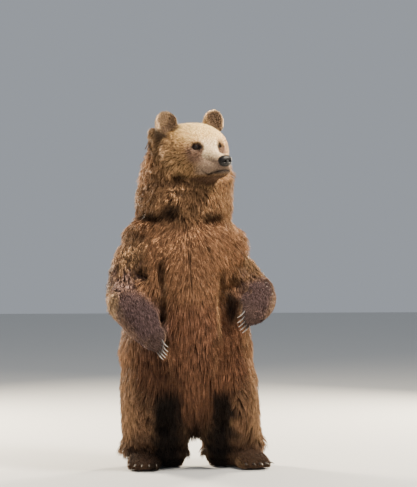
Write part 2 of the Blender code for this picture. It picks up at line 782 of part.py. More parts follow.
def main():
    for thing in list(bpy.data.objects):
        bpy.data.objects.remove(thing)
    bear = new_collection("brown_bear")
    frame = head_frame()
    body = whole_body(bear, frame)
    limbs = {
        "right": (arm("arm_right", RIGHT_ARM, RIGHT_PAW_ACROSS, bear), RIGHT_ARM),
        "left": (arm("arm_left", LEFT_ARM, LEFT_PAW_ACROSS, bear), LEFT_ARM),
    }
    ears = [ear(-1, bear, frame), ear(1, bear, frame)]
    stump = tail(bear)
    for guest in (*(limb for limb, _ in limbs.values()), stump):
        bed(guest, body)
    for guest in ears:
        bed(guest, body, hollow=True)
    flesh = part_body(body, frame)
    for side_name, (limb, sections) in limbs.items():
        flesh |= part_arm(limb, sections, side_name)
    nose_pad = nose(bear, frame)
    eyes = [eye(-1, bear, frame), eye(1, bear, frame)]
    for guest in (nose_pad, *eyes):
        bed(guest, flesh["head"])
    nails = {}
    for side_name, sections, paw_across, side in (
        ("right", RIGHT_ARM, RIGHT_PAW_ACROSS, -1),
        ("left", LEFT_ARM, LEFT_PAW_ACROSS, 1),
    ):
        nails |= claws(side_name, claw_places(sections, paw_across, side), flesh, bear)
    furred = [*flesh.values(), *ears, stump]
    finished(furred, material("fur", FUR_COLOUR, FUR_ROUGHNESS))
    finished([nose_pad], material("nose", NOSE_COLOUR, NOSE_ROUGHNESS))
    finished(eyes, material("eye", EYE_COLOUR, EYE_ROUGHNESS))
    finished(nails.values(), material("claw", CLAW_COLOUR, CLAW_ROUGHNESS))
    centred([*furred, nose_pad, *eyes, *nails.values()])


main()
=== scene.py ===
"""The looks of the standing brown bear: skin, coat, eyes, nose and claws, with floor, light and camera.

Metres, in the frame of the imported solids: +Z up, the chest faces -Y, the bear's left is +X.
Places on the head are often in its own frame: forward, left and up from its middle.
One skin lies inside the solids by the depth of the coat, and solid tufts cover it.
"""

import math
from typing import NamedTuple

import bmesh
import bpy
import numpy as np
from mathutils import Matrix, Vector
from mathutils.bvhtree import BVHTree
from mathutils.kdtree import KDTree


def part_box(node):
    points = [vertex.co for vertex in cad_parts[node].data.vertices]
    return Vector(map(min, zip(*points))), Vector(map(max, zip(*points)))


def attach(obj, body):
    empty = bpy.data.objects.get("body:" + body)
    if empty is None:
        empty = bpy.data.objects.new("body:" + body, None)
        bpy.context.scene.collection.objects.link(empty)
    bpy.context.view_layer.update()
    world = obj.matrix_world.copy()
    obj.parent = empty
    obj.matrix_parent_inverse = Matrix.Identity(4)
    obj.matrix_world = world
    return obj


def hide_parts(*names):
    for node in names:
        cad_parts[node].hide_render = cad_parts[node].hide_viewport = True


# ---- sizes

SEED = 7
SKIN_VOXEL = 0.008
GROW = 0.0014  # closes the thin cuts between the solids before they are fused
JOIN = 1e-5  # vertices nearer than this are one
END_BULGE = 0.45  # of a mass's ends, as a share of their depth
FACE_FRONT, FACE_HALF_WIDTH = 0.065, 0.125  # where the skin is made finer
FACE_LOW, FACE_HIGH = -0.19, 0.075
HOLLOW_DEPTH = 0.050  # how far the skin draws back in the hollows
CREASE_SHARE = 0.7  # how much of that it does in the creases

PLAN_HEAD_CENTRE = Vector((0.004, -0.080, 1.600))  # before the solids were centred on their box
HEAD_YAW = math.radians(30)
HEAD_ROLL = math.radians(4)
EYE_AT = Vector((0.144, 0.064, -0.003))  # in the head's own frame
EYE_RADIUS = 0.0125
EYE_OUTWARD = math.radians(34)
EYE_OPENING = (0.0125, 0.0066)  # half width and half height between the lids
OPENING_FLOOR = 0.004  # in front of the eye's middle, inside the eye
EYE_ZONE = 0.03  # what lies this near, in front or behind, belongs to the eye
BARE_EYE = 0.0116  # no hair grows nearer than this to the eye's axis
LID_RADIUS = 0.0142
LID_START, LID_END = 0.034, 0.0135  # from the axis: between them the skin goes over to the lids
LID_ZONE = 0.05  # skin this near, in front or behind, is drawn to the lids
EAR_AT = Vector((0.018, 0.142, 0.115))
EAR_SPLAY = math.radians(10)
EAR_HALF_WIDTH, EAR_HALF_HEIGHT = 0.058, 0.070
EAR_WIDENING = 0.22  # makes up for what smoothing takes off the ears' edges
MOUTH_HEIGHT = -0.1265
GROOVE_DEPTH, GROOVE_WIDTH = 0.0065, 0.0035  # of the line between the lips
LIP_SWELL, LIP_BELOW, LIP_WIDTH = 0.0025, 0.009, 0.006  # of the lower lip, below that line
BARE_LIP = 0.0035  # no hair grows nearer than this to that line

CAMERA_AZIMUTH = math.radians(6)
CAMERA_DISTANCE = 9.0
CAMERA_HEIGHT = 1.1225
CAMERA_ASIDE = 0.1075
CAMERA_VIEW_HEIGHT = 2.435  # what the picture's height covers at the bear
CAMERA_SENSOR = 36.0  # for the picture's long side, which is its height

SOLE_HEIGHT = 0.012  # no hair grows below this
LOWEST_HAIR = 0.002  # and none hangs lower than this
BREASTBONE_X = -0.022  # where the hair of the chest parts
UV_PATCH = 0.003  # a lock's share of the map
SINK = 0.12  # how far a tuft's root is sunk in the skin, as a share of the coat's depth
DROOP = 0.15  # how far a lock's tip hangs, as a share of its length
CLUMP_STRETCH, LOCK_STRETCH = (0.78, 1.18), (0.75, 1.1)  # of the coat's length
CLUMP_LIFT, LOCK_LIFT = (-0.35, 0.35), (0.45, 1.05)  # of the coat's depth
CLUMP_TURN, LOCK_TURN = 0.7, 0.5  # of the coat's stray
CLUMP_TONE, LOCK_TONE = 0.16, 0.20
LOCK_WIDTH = (0.7, 1.25)  # of the coat's width
LOCK_GATHER = (0.5, 1.4)  # of the coat's gather
SHORT_COAT = 0.030  # locks shorter than this have one ring less
LONG_LEVELS, SHORT_LEVELS = 4, 3  # points along a lock's line
FEW_LOCKS = 100  # fewer short locks than this stay with the long ones
MAX_TRIANGLES = 190000  # in one piece of the coat
HAIR_SHINE = 0.12
GRAIN = 120.0  # scale of the noise that breaks up the colours

AREA_LIGHTS = (  # name, azimuth and elevation in degrees, distance, size, power and colour
    ("key", 50, 50, 5.0, 1.6, 520, (1.0, 0.91, 0.78)),
    ("fill", -28, 12, 5.5, 3.0, 85, (1.0, 0.96, 0.95)),
    ("rim_right", -138, 14, 4.5, 1.2, 800, (1.0, 0.86, 0.66)),
    ("rim_left", 138, 14, 4.5, 1.2, 560, (1.0, 0.86, 0.66)),
)
LIGHT_TARGET = Vector((0, 0, 1.1))
HEAD_LIGHT_TARGET = Vector((0.08, -0.12, 0.05))  # from the head's middle
HEAD_LIGHT_WAY = (62, 52, 4.0)  # azimuth, elevation and distance
HEAD_LIGHT_POWER = 20000
HEAD_LIGHT_COLOUR = (1.0, 0.88, 0.66)
HEAD_LIGHT_CONE = math.radians(4.6)
HEAD_LIGHT_SIZE = 0.25
SKY_COLOUR, SKY_STRENGTH = (0.80, 0.86, 0.95, 1.0), 0.42
FLOOR_SIZE = 40.0
FLOOR_COLOUR = (0.62, 0.62, 0.60, 1.0)

SIDES = ("left", "right")
HEAD_NODES = ("head", "lower_jaw")
FLESH = [*HEAD_NODES, "neck", "chest", "belly", "tail"]
for _side in SIDES:
    FLESH += [f"{part}_{_side}" for part in ("ear", "upper_arm", "forearm", "forepaw")]
    FLESH += [f"{part}_{_side}" for part in ("thigh", "shank", "hindfoot")]


class Section(NamedTuple):
    """One cross-section of a mass: its middle, half width, and half depths below and above."""

    forward: float
    up: float
    wide: float
    low: float
    high: float


# The head's masses in its own frame, forward and up from its centre.
SKULL = (
    Section(-0.140, -0.040, 0.165, 0.110, 0.105),
    Section(-0.075, -0.035, 0.190, 0.150, 0.145),
    Section(0.000, -0.035, 0.196, 0.160, 0.160),
    Section(0.055, -0.038, 0.200, 0.156, 0.156),
    Section(0.095, -0.042, 0.176, 0.142, 0.134),
    Section(0.128, -0.050, 0.132, 0.122, 0.106),
    Section(0.155, -0.060, 0.088, 0.102, 0.080),
)
BRIDGE = (
    Section(0.100, -0.020, 0.056, 0.070, 0.088),
    Section(0.140, -0.032, 0.043, 0.070, 0.057),
    Section(0.187, -0.054, 0.038, 0.060, 0.042),
    Section(0.220, -0.068, 0.038, 0.055, 0.040),
    Section(0.255, -0.080, 0.038, 0.045, 0.039),
    Section(0.285, -0.086, 0.034, 0.035, 0.031),
)
JAWS = (
    Section(0.080, -0.108, 0.105, 0.084, 0.080),
    Section(0.130, -0.110, 0.090, 0.074, 0.070),
    Section(0.180, -0.111, 0.073, 0.062, 0.056),
    Section(0.225, -0.113, 0.061, 0.052, 0.046),
    Section(0.258, -0.115, 0.053, 0.043, 0.042),
    Section(0.280, -0.114, 0.044, 0.028, 0.036),
    Section(0.291, -0.112, 0.031, 0.018, 0.028),
)
NOSE = (
    Section(0.262, -0.077, 0.022, 0.018, 0.016),
    Section(0.276, -0.077, 0.030, 0.026, 0.023),
    Section(0.291, -0.077, 0.033, 0.029, 0.026),
    Section(0.302, -0.078, 0.031, 0.027, 0.024),
    Section(0.309, -0.080, 0.024, 0.020, 0.018),
    Section(0.312, -0.081, 0.014, 0.012, 0.011),
    Section(0.313, -0.081, 0.003, 0.003, 0.003),
)
HEAD_BALLS = (  # middle and half extents in the head's frame, one on each side
    (Vector((0.030, 0.106, -0.085)), Vector((0.086, 0.088, 0.092))),  # cheek
    (Vector((0.112, 0.062, 0.036)), Vector((0.034, 0.044, 0.026))),  # brow
    (Vector((-0.055, 0.168, 0.052)), Vector((0.055, 0.044, 0.060))),  # hair below the ear
    (Vector((-0.050, 0.158, -0.060)), Vector((0.085, 0.060, 0.095))),  # hair behind the cheek
)
SHOULDER_BALLS = (  # hair that fills the angles between neck, shoulders and forelegs
    (Vector((0.222, -0.04, 1.088)), Vector((0.070, 0.075, 0.075))),
    (Vector((-0.212, -0.02, 1.236)), Vector((0.075, 0.085, 0.050))),
)


# ---- coats


class Coat(NamedTuple):
    """The coat of one body part: metres, tufts per square metre, and linear colours."""

    depth: float  # of the coat over the skin
    length: float
    width: float
    density: float
    pitch: float  # between the middles of neighbouring clumps
    gather: float  # how far the tips of a clump come together, 0 to 1
    stray: float  # how far the clumps lie across each other, in radians
    # roots are darker than tips: partly the hair's own darker base, partly painted shade deep in the
    # coat
    root: tuple
    tip: tuple


MEASURES = 7  # a coat's numbers, before its colours
DEPTH, LENGTH, WIDTH, DENSITY, PITCH, GATHER, STRAY = range(MEASURES)
COATS = {
    "head": Coat(
        0.018, 0.036, 0.0035, 50000, 0.012, 0.34, 0.2, (0.095, 0.05, 0.023), (0.5, 0.3, 0.14)
    ),
    "ear": Coat(
        0.005, 0.016, 0.0028, 83000, 0.008, 0.2, 0.14, (0.16, 0.095, 0.052), (0.46, 0.31, 0.185)
    ),
    "neck": Coat(
        0.03, 0.052, 0.0048, 29200, 0.0125, 0.44, 0.46, (0.03, 0.015, 0.008), (0.33, 0.182, 0.092)
    ),
    "chest": Coat(
        0.024, 0.06, 0.004, 29500, 0.013, 0.18, 0.06, (0.06, 0.026, 0.012), (0.365, 0.187, 0.096)
    ),
    "belly": Coat(
        0.026, 0.078, 0.0046, 23200, 0.016, 0.34, 0.12, (0.036, 0.015, 0.008), (0.28, 0.131, 0.073)
    ),
    "upper_arm": Coat(
        0.026, 0.05, 0.005, 27500, 0.014, 0.42, 0.24, (0.03, 0.016, 0.009), (0.37, 0.212, 0.112)
    ),
    "forearm": Coat(
        0.014, 0.036, 0.0038, 33000, 0.01, 0.12, 0.09, (0.056, 0.033, 0.03), (0.165, 0.103, 0.098)
    ),
    "forepaw": Coat(
        0.008, 0.02, 0.003, 46000, 0.008, 0.12, 0.09, (0.06, 0.036, 0.032), (0.19, 0.122, 0.106)
    ),
    "thigh": Coat(
        0.028, 0.072, 0.0054, 23000, 0.017, 0.46, 0.26, (0.028, 0.014, 0.008), (0.285, 0.155, 0.088)
    ),
    "shank": Coat(
        0.028, 0.068, 0.0054, 23000, 0.017, 0.46, 0.24, (0.02, 0.011, 0.0065), (0.225, 0.128, 0.079)
    ),
    "hindfoot": Coat(
        0.008, 0.024, 0.003, 42000, 0.01, 0.2, 0.12, (0.03, 0.017, 0.011), (0.14, 0.08, 0.05)
    ),
}
COATS["lower_jaw"] = COATS["head"]
COATS["tail"] = COATS["thigh"]
COAT_PIECES = {
    "coat_head": (*HEAD_NODES, "ear_left", "ear_right"),
    "coat_neck": ("neck",),
    "coat_chest": ("chest",),
    "coat_belly": ("belly", "tail"),
    "coat_arm_left": ("upper_arm_left", "forearm_left", "forepaw_left"),
    "coat_arm_right": ("upper_arm_right", "forearm_right", "forepaw_right"),
    "coat_leg_left": ("thigh_left", "shank_left", "hindfoot_left"),
    "coat_leg_right": ("thigh_right", "shank_right", "hindfoot_right"),
}

# ---- places and colours of the markings, and of painted light and shade


class Patch(NamedTuple):
    """A rounded place in the coat: its middle, half extents, and how strongly it shows."""

    at: tuple
    size: tuple
    amount: float


class Paint(NamedTuple):
    """The colours of hair at its root and its tip."""

    root: tuple
    tip: tuple


# Painted shade in the creases below the neck's hair, the chin and the cheek; the skin also draws back
# there.
CREASES = (
    Patch((-0.116, -0.26, 1.266), (0.084, 0.24, 0.064), 0.98),  # below the neck's hair
    Patch((-0.205, -0.16, 1.250), (0.105, 0.20, 0.028), 0.88),
    Patch((0.122, -0.25, 1.243), (0.115, 0.24, 0.048), 0.97),
    Patch((0.010, -0.28, 1.366), (0.042, 0.14, 0.024), 0.85),  # below the chin
    Patch((-0.075, -0.26, 1.392), (0.030, 0.14, 0.024), 0.80),
    Patch((-0.068, -0.20, 1.440), (0.052, 0.14, 0.028), 0.60),  # below the cheek
)
# Painted shade between chest and forelegs and at the elbows; the skin also draws back there.
HOLLOWS = (  # between chest and forelegs, and at the elbows
    Patch((-0.158, -0.20, 0.975), (0.026, 0.12, 0.090), 0.62),
    Patch((-0.150, -0.20, 0.780), (0.020, 0.12, 0.180), 0.50),
    Patch((-0.250, -0.14, 0.985), (0.036, 0.12, 0.034), 0.70),
    Patch((0.152, -0.20, 0.845), (0.034, 0.12, 0.200), 0.65),
    Patch((0.186, -0.20, 0.815), (0.050, 0.16, 0.145), 0.88),
    Patch((0.222, -0.20, 0.925), (0.068, 0.15, 0.066), 0.78),
)
# Painted shade between belly and legs; the skin also draws back there.
LEG_GAPS = (  # between belly and legs
    Patch((-0.128, -0.10, 0.275), (0.078, 0.20, 0.165), 0.97),
    Patch((0.148, -0.10, 0.300), (0.052, 0.20, 0.150), 0.94),
)
TONES = (  # broad paler and darker places; the amount is the change in brightness
    Patch((0.111, -0.22, 1.105), (0.085, 0.17, 0.100), 0.16),
    Patch((0.071, -0.22, 1.265), (0.095, 0.17, 0.055), -0.14),
    # painted rim light on the outer edge of the right shoulder
    Patch((-0.340, -0.03, 1.130), (0.060, 0.17, 0.110), 0.50),
    Patch((-0.288, -0.07, 1.062), (0.045, 0.15, 0.065), -0.42),
    # painted rim light on the right edge of the head and cheek
    Patch((-0.208, -0.02, 1.530), (0.040, 0.12, 0.120), 0.75),
    Patch((0.320, -0.22, 0.930), (0.110, 0.20, 0.120), 0.26),
    Patch((-0.320, -0.20, 0.820), (0.110, 0.20, 0.140), -0.12),
)
ROOT_SHARE = 2 / 3  # how much of the thigh's darkening reaches the roots
# painted shade on the right thigh below the belly's hanging hair
THIGH_SHADE = Patch((-0.165, -0.22, 0.47), (0.13, 0.20, 0.22), 0.45)
# painted rim light on the outer side of the right elbow
RIM_LIT_ELBOW = Patch((-0.405, -0.10, 0.890), (0.050, 0.13, 0.200), 1.0)
# painted shade in the parting down the breastbone
PARTING = Patch((-0.016, -0.26, 1.030), (0.009, 0.12, 0.190), 0.50)  # down the breastbone
EAR_FEET = (  # painted shade round the foot of each ear, in the head's own frame
    Patch((0.036, 0.110, 0.094), (0.050, 0.054, 0.032), 0.90),
    Patch((0.022, 0.168, 0.070), (0.055, 0.038, 0.042), 0.85),
)

# painted shade over the back of the head and the rear of the cheeks
NAPE_SHADE = Paint((0.028, 0.015, 0.008), (0.22, 0.125, 0.064))
CROWN = Paint((0.12, 0.056, 0.018), (0.78, 0.48, 0.185))
MUZZLE_SIDE = Paint((0.27, 0.18, 0.125), (0.46, 0.330, 0.225))
# paler hair on bridge and brow, partly a painted highlight, near white at the tips
NOSE_BRIDGE = Paint((0.40, 0.27, 0.15), (1.0, 0.86, 0.60))
BROW = Paint((0.34, 0.185, 0.065), (1.0, 0.78, 0.37))
BELOW_EYE = Paint((0.090, 0.050, 0.036), (0.27, 0.160, 0.112))
# painted shade under the jaw
UNDER_JAW_SHADE = Paint((0.045, 0.024, 0.014), (0.15, 0.082, 0.046))
# the ear's pale rim: partly paler hair, partly painted rim light
EAR_RIM = Paint((0.36, 0.23, 0.13), (0.80, 0.58, 0.36))
# the ear's dark dish: partly darker hair inside the ear, partly painted shade
EAR_DISH = Paint((0.014, 0.008, 0.005), (0.050, 0.028, 0.016))
# painted shade round the foot of the ear
EAR_FOOT_SHADE = Paint((0.030, 0.017, 0.010), (0.085, 0.050, 0.029))
# painted shade in the eye's socket
EYE_SOCKET = Paint((0.06, 0.034, 0.024), (0.10, 0.060, 0.042))
EYELID = Paint((0.026, 0.019, 0.016), (0.032, 0.023, 0.019))
LIPS = Paint((0.016, 0.012, 0.011), (0.016, 0.012, 0.011))
# paler sides: partly the hair's own colour, partly painted rim light
SIDE_TIP = np.array((0.62, 0.375, 0.20))
# colour of the painted rim light at the right elbow
ELBOW_RIM_LIGHT = np.array((0.62, 0.40, 0.22))
# painted light: the bear's left side paler and warmer
LEFT_SIDE_LIGHT = 0.16 * np.array((1.0, 0.9, 0.55))
# the second number is painted shade on all that faces back, and on the tail
SIDE_PALING, BACK_SHADE, LOW_DARKENING = 0.50, 0.44, 0.25
DUSK = 0.85  # how dark the upper arms are where they meet the forearms
# the near black of painted shade in hollows, creases, the parting and between the legs
SHADE_COLOUR = np.array((0.006, 0.0045, 0.004))
NOSE_COLOUR = np.array((0.006, 0.005, 0.005))
CLAW_ROOT = np.array((0.035, 0.026, 0.022))
CLAW_TIP = np.array((0.42, 0.37, 0.31))
EYE_DARK = (0.010, 0.008, 0.007)
EYE_RINGS = (  # how far each reaches from the eye's axis, in degrees, and its colour
    (52, (0.028, 0.013, 0.007)),
    (24, (0.002, 0.002, 0.002)),
)

# ---- the frame

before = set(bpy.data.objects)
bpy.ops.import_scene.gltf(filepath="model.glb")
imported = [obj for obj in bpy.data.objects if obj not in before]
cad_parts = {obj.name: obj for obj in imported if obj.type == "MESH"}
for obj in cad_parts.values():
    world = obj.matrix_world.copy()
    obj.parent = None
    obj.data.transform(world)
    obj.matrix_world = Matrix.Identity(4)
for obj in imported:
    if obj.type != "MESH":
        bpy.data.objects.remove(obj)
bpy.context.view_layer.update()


def head_turn():
    """Turns the head's own forward, left and up into the frame."""
    forward_left_up = Matrix(((0, 1, 0), (-1, 0, 0), (0, 0, 1)))
    return (
        Matrix.Rotation(HEAD_YAW, 3, "Z") @ forward_left_up @ Matrix.Rotation(HEAD_ROLL, 3, "X")
    )


def node_middle(name):
    low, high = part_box(name)
    return (low + high) / 2


HEAD_TURN = head_turn()
EYE_MIDDLE = (node_middle("eye_left") + node_middle("eye_right")) / 2
HEAD_CENTRE = EYE_MIDDLE - HEAD_TURN @ Vector((EYE_AT.x, 0.0, EYE_AT.z))
HEAD_FRAME = Matrix.Translation(HEAD_CENTRE) @ HEAD_TURN.to_4x4()
SHIFT = HEAD_CENTRE - PLAN_HEAD_CENTRE

# ---- mesh helpers


def new_object(name, mesh):
    thing = bpy.data.objects.new(name, mesh)
    bpy.context.scene.collection.objects.link(thing)
    return thing


def mesh_from_bmesh(name, shape):
    mesh = bpy.data.meshes.new(name)
    bmesh.ops.recalc_face_normals(shape, faces=shape.faces)
    shape.to_mesh(mesh)
    shape.free()
    return mesh


def mesh_from_arrays(name, points, triangles):
    """A mesh of triangles, from arrays of places and of vertex numbers."""
    mesh = bpy.data.meshes.new(name)
    mesh.vertices.add(len(points))
    mesh.vertices.foreach_set("co", points.astype(np.float32).ravel())
    mesh.loops.add(triangles.size)
    mesh.loops.foreach_set("vertex_index", triangles.astype(np.int32).ravel())
    mesh.polygons.add(len(triangles))
    mesh.polygons.foreach_set("loop_start", np.arange(0, triangles.size, 3, dtype=np.int32))
    mesh.update(calc_edges=True)
    return mesh


def smooth_sections(sections, steps):
    """Stations on a smooth curve through the sections, steps of them from each to the next."""
    rows = np.array([(s.forward, 0.0, s.up, s.wide, s.low, s.high) for s in sections])
    rows = np.vstack((2 * rows[0] - rows[1], rows, 2 * rows[-1] - rows[-2]))
    stations = []
    for i in range(1, len(rows) - 2):
        p0, p1, p2, p3 = rows[i - 1 : i + 3]
        for step in range(steps):
            t = step / steps
            bend = 2 * p0 - 5 * p1 + 4 * p2 - p3
            twist = -p0 + 3 * p1 - 3 * p2 + p3
            stations.append(0.5 * (2 * p1 + (p2 - p0) * t + bend * t**2 + twist * t**3))
    stations.append(rows[-2])
    return np.array(stations)


def loft(sections, side, steps=6, around=40, squareness=2.2):
    """A closed mass through the sections. side is the direction of their width."""
    stations = smooth_sections(sections, steps)
    tangents = np.gradient(stations[:, :3], axis=0)
    shape = bmesh.new()
    rings = []
    power = 2 / squareness
    for station, tangent in zip(stations, tangents):
        wide, low, high = station[3:]
        along = Vector(tangent).normalized()
        across = (side - along * side.dot(along)).normalized()
        depth = along.cross(across)
        ring = []
        for k in range(around):
            angle = math.tau * k / around
            c, s = math.cos(angle), math.sin(angle)
            reach = wide * math.copysign(abs(c) ** power, c)
            rise = (high if s > 0 else low) * math.copysign(abs(s) ** power, s)
            ring.append(shape.verts.new(Vector(station[:3]) + across * reach + depth * rise))
        rings.append(ring)
    for near, far in zip(rings, rings[1:]):
        for k in range(around):
            after = (k + 1) % around
            shape.faces.new((near[k], near[after], far[after], far[k]))
    for ring, station, tangent, way in (
        (rings[0], stations[0], tangents[0], -1),
        (rings[-1], stations[-1], tangents[-1], 1),
    ):
        bulge = END_BULGE * (station[4] + station[5]) / 2
        pole = shape.verts.new(Vector(station[:3]) + Vector(tangent).normalized() * bulge * way)
        for k in range(around):
            shape.faces.new((ring[k], ring[(k + 1) % around], pole))
    return shape


def ball(centre, sizes):
    """A ball stretched to half extents."""
    shape = bmesh.new()
    bmesh.ops.create_uvsphere(shape, u_segments=36, v_segments=24, radius=1.0)
    place = Matrix.Translation(centre) @ Matrix.Diagonal((*sizes, 1.0))
    bmesh.ops.transform(shape, matrix=place, verts=shape.verts)
    return shape


def evaluated(thing):
    """The object's mesh with its modifiers applied."""
    graph = bpy.context.evaluated_depsgraph_get()
    return bpy.data.meshes.new_from_object(thing.evaluated_get(graph))


def read(items, key, width, kind=np.float32):
    """One kind of a mesh's numbers, width of them to a row."""
    found = np.empty(len(items) * width, kind)
    items.foreach_get(key, found)
    return found.reshape(-1, width)


def places(mesh):
    return read(mesh.vertices, "co", 3).astype(float)


def set_places(mesh, points):
    mesh.vertices.foreach_set("co", points.astype(np.float32).ravel())
    mesh.update()


def normals(mesh):
    return read(mesh.vertex_normals, "vector", 3).astype(float)


def edge_pairs(mesh):
    return read(mesh.edges, "vertices", 2, np.int32)


def relaxed(values, edges, rounds):
    """Values at the vertices, evened out along the mesh's edges."""
    count = len(values)
    flat = values.reshape(count, -1).astype(float).copy()
    a, b = edges[:, 0], edges[:, 1]
    degree = np.bincount(a, minlength=count) + np.bincount(b, minlength=count)
    for _ in range(rounds):
        for k in range(flat.shape[1]):
            column = flat[:, k]
            around = np.bincount(a, weights=column[b], minlength=count)
            around += np.bincount(b, weights=column[a], minlength=count)
            flat[:, k] += (around / degree - column) / 2
    return flat.reshape(values.shape)


def unit(vectors):
    return vectors / np.maximum(np.linalg.norm(vectors, axis=-1, keepdims=True), 1e-9)


def ramp(value, start, end):
    """0 before start, 1 after end, smooth between them; start may be the larger."""
    t = np.clip((value - start) / (end - start), 0.0, 1.0)
    return t * t * (3 - 2 * t)


# ---- the skin


def solid_forms():
    """Every node of flesh but the head's, a little grown, and the head's own masses."""
    whole = bmesh.new()
    for name in FLESH:
        if name in HEAD_NODES:
            continue
        piece = bmesh.new()
        piece.from_mesh(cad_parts[name].data)
        bmesh.ops.remove_doubles(piece, verts=piece.verts, dist=JOIN)
        bmesh.ops.recalc_face_normals(piece, faces=piece.faces)
        piece.normal_update()
        for vertex in piece.verts:
            vertex.co += vertex.normal * GROW
        mesh = bpy.data.meshes.new("piece")
        piece.to_mesh(mesh)
        piece.free()
        whole.from_mesh(mesh)
    level = Vector((0, 1, 0))
    shapes = [
        loft(SKULL, level),
        loft(BRIDGE, level, squareness=2.1),
        loft(JAWS, level),
    ]
    for centre, sizes in HEAD_BALLS:
        for side in (-1, 1):
            shapes.append(ball(Vector((centre.x, centre.y * side, centre.z)), sizes))
    for shape in shapes:
        mesh = mesh_from_bmesh("mass", shape)
        mesh.transform(HEAD_FRAME)
        whole.from_mesh(mesh)
    for centre, sizes in SHOULDER_BALLS:
        whole.from_mesh(mesh_from_bmesh("mass", ball(centre, sizes)))
    mesh = bpy.data.meshes.new("forms")
    whole.to_mesh(mesh)
    whole.free()
    return mesh


def largest_body(mesh):
    """Only the largest connected part of the mesh."""
    edges = edge_pairs(mesh)
    label = np.arange(len(mesh.vertices))
    while True:
        low = np.minimum(label[edges[:, 0]], label[edges[:, 1]])
        before = label.copy()
        np.minimum.at(label, edges[:, 0], low)
        np.minimum.at(label, edges[:, 1], low)
        label = label[label]
        if (label == before).all():
            break
    names, counts = np.unique(label, return_counts=True)
    keep = label == names[counts.argmax()]
    shape = bmesh.new()
    shape.from_mesh(mesh)
    shape.verts.ensure_lookup_table()
    spare = [shape.verts[i] for i in np.flatnonzero(~keep)]
    bmesh.ops.delete(shape, geom=spare, context="VERTS")
    shape.to_mesh(mesh)
    shape.free()
    return mesh


def fused_outline():
    """The coat's outline as one smooth closed mesh."""
    thing = new_object("outline", solid_forms())
    fuse = thing.modifiers.new("fuse", "REMESH")
    fuse.mode = "VOXEL"
    fuse.voxel_size = SKIN_VOXEL
    soften = thing.modifiers.new("soften", "SMOOTH")
    soften.factor = 0.5
    soften.iterations = 5
    mesh = evaluated(thing)
    bpy.data.objects.remove(thing)
    return largest_body(mesh)


def part_name(node):
    for side in SIDES:
        node = node.removesuffix("_" + side)
    return node


class Labels:
    """Tells which CAD node a place belongs to."""

    def __init__(self):
        points, triangles, owners = [], [], []
        for index, name in enumerate(FLESH):
            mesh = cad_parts[name].data
            mesh.calc_loop_triangles()
            start = len(points)
            points += [v.co.copy() for v in mesh.vertices]
            for triangle in mesh.loop_triangles:
                triangles.append(tuple(start + k for k in triangle.vertices))
                owners.append(index)
        self.tree = BVHTree.FromPolygons(points, triangles)
        self.owners = owners

    def of(self, points):
        found = np.empty(len(points), int)
        for k, point in enumerate(points):
            found[k] = self.owners[self.tree.find_nearest(Vector(point))[2]]
        return found


def weights_of(labels, edges, rounds):
    """How much of each node's nature every vertex has, evened out across the borders."""
    one_hot = np.zeros((len(labels), len(FLESH)))
    one_hot[np.arange(len(labels)), labels] = 1.0
    return relaxed(one_hot, edges, rounds)


def share_of(weights, *nodes):
    """How much of the named nodes' nature each place has."""
    return sum(weights[:, FLESH.index(node)] for node in nodes)


def coat_values(weights):
    """Every number of the coat, then its colours, at every vertex."""
    table = []
    for name in FLESH:
        coat = COATS[part_name(name)]
        table.append(coat[:MEASURES] + coat.root + coat.tip)
    return weights @ np.array(table)


def to_head(points):
    """Places in the head's own forward, left and up."""
    return (points - np.array(HEAD_CENTRE)) @ np.array(HEAD_TURN)


def from_head(points):
    return points @ np.array(HEAD_TURN).T + np.array(HEAD_CENTRE)


def muzzle_share(head_points):
    """1 on the muzzle and round the eyes, 0 behind the cheeks."""
    return ramp(head_points[:, 0], 0.05, 0.17) * ramp(head_points[:, 2], -0.30, -0.18)


def finer_face(mesh):
    """The mesh with the face's faces divided twice."""
    shape = bmesh.new()
    shape.from_mesh(mesh)
    for _ in range(2):
        shape.verts.ensure_lookup_table()
        at = to_head(np.array([v.co for v in shape.verts]))
        inside = (at[:, 0] > FACE_FRONT) & (np.abs(at[:, 1]) < FACE_HALF_WIDTH)
        inside &= (at[:, 2] > FACE_LOW) & (at[:, 2] < FACE_HIGH)
        edges = [e for e in shape.edges if inside[e.verts[0].index] and inside[e.verts[1].index]]
        bmesh.ops.subdivide_edges(shape, edges=edges, cuts=1, use_grid_fill=True)
        shape.verts.index_update()
    bmesh.ops.triangulate(shape, faces=[f for f in shape.faces if len(f.verts) > 4])
    made = bpy.data.meshes.new("skin")
    shape.to_mesh(made)
    shape.free()
    return made


def eye_axes(side):
    """The eye's middle, and its outward, sideways and upward axes, in the head's own frame."""
    out = np.array((math.cos(EYE_OUTWARD), side * math.sin(EYE_OUTWARD), 0.0))
    across = np.array((-side * math.sin(EYE_OUTWARD), math.cos(EYE_OUTWARD), 0.0))
    middle = np.array((EYE_AT.x, side * EYE_AT.y, EYE_AT.z))
    return middle, out, across, np.array((0.0, 0.0, 1.0))


def eye_offsets(at, side):
    """How far places lie from the middle of an eye: outward, sideways and upward."""
    middle, *axes = eye_axes(side)
    rel = at - middle
    return (rel @ axis for axis in axes)


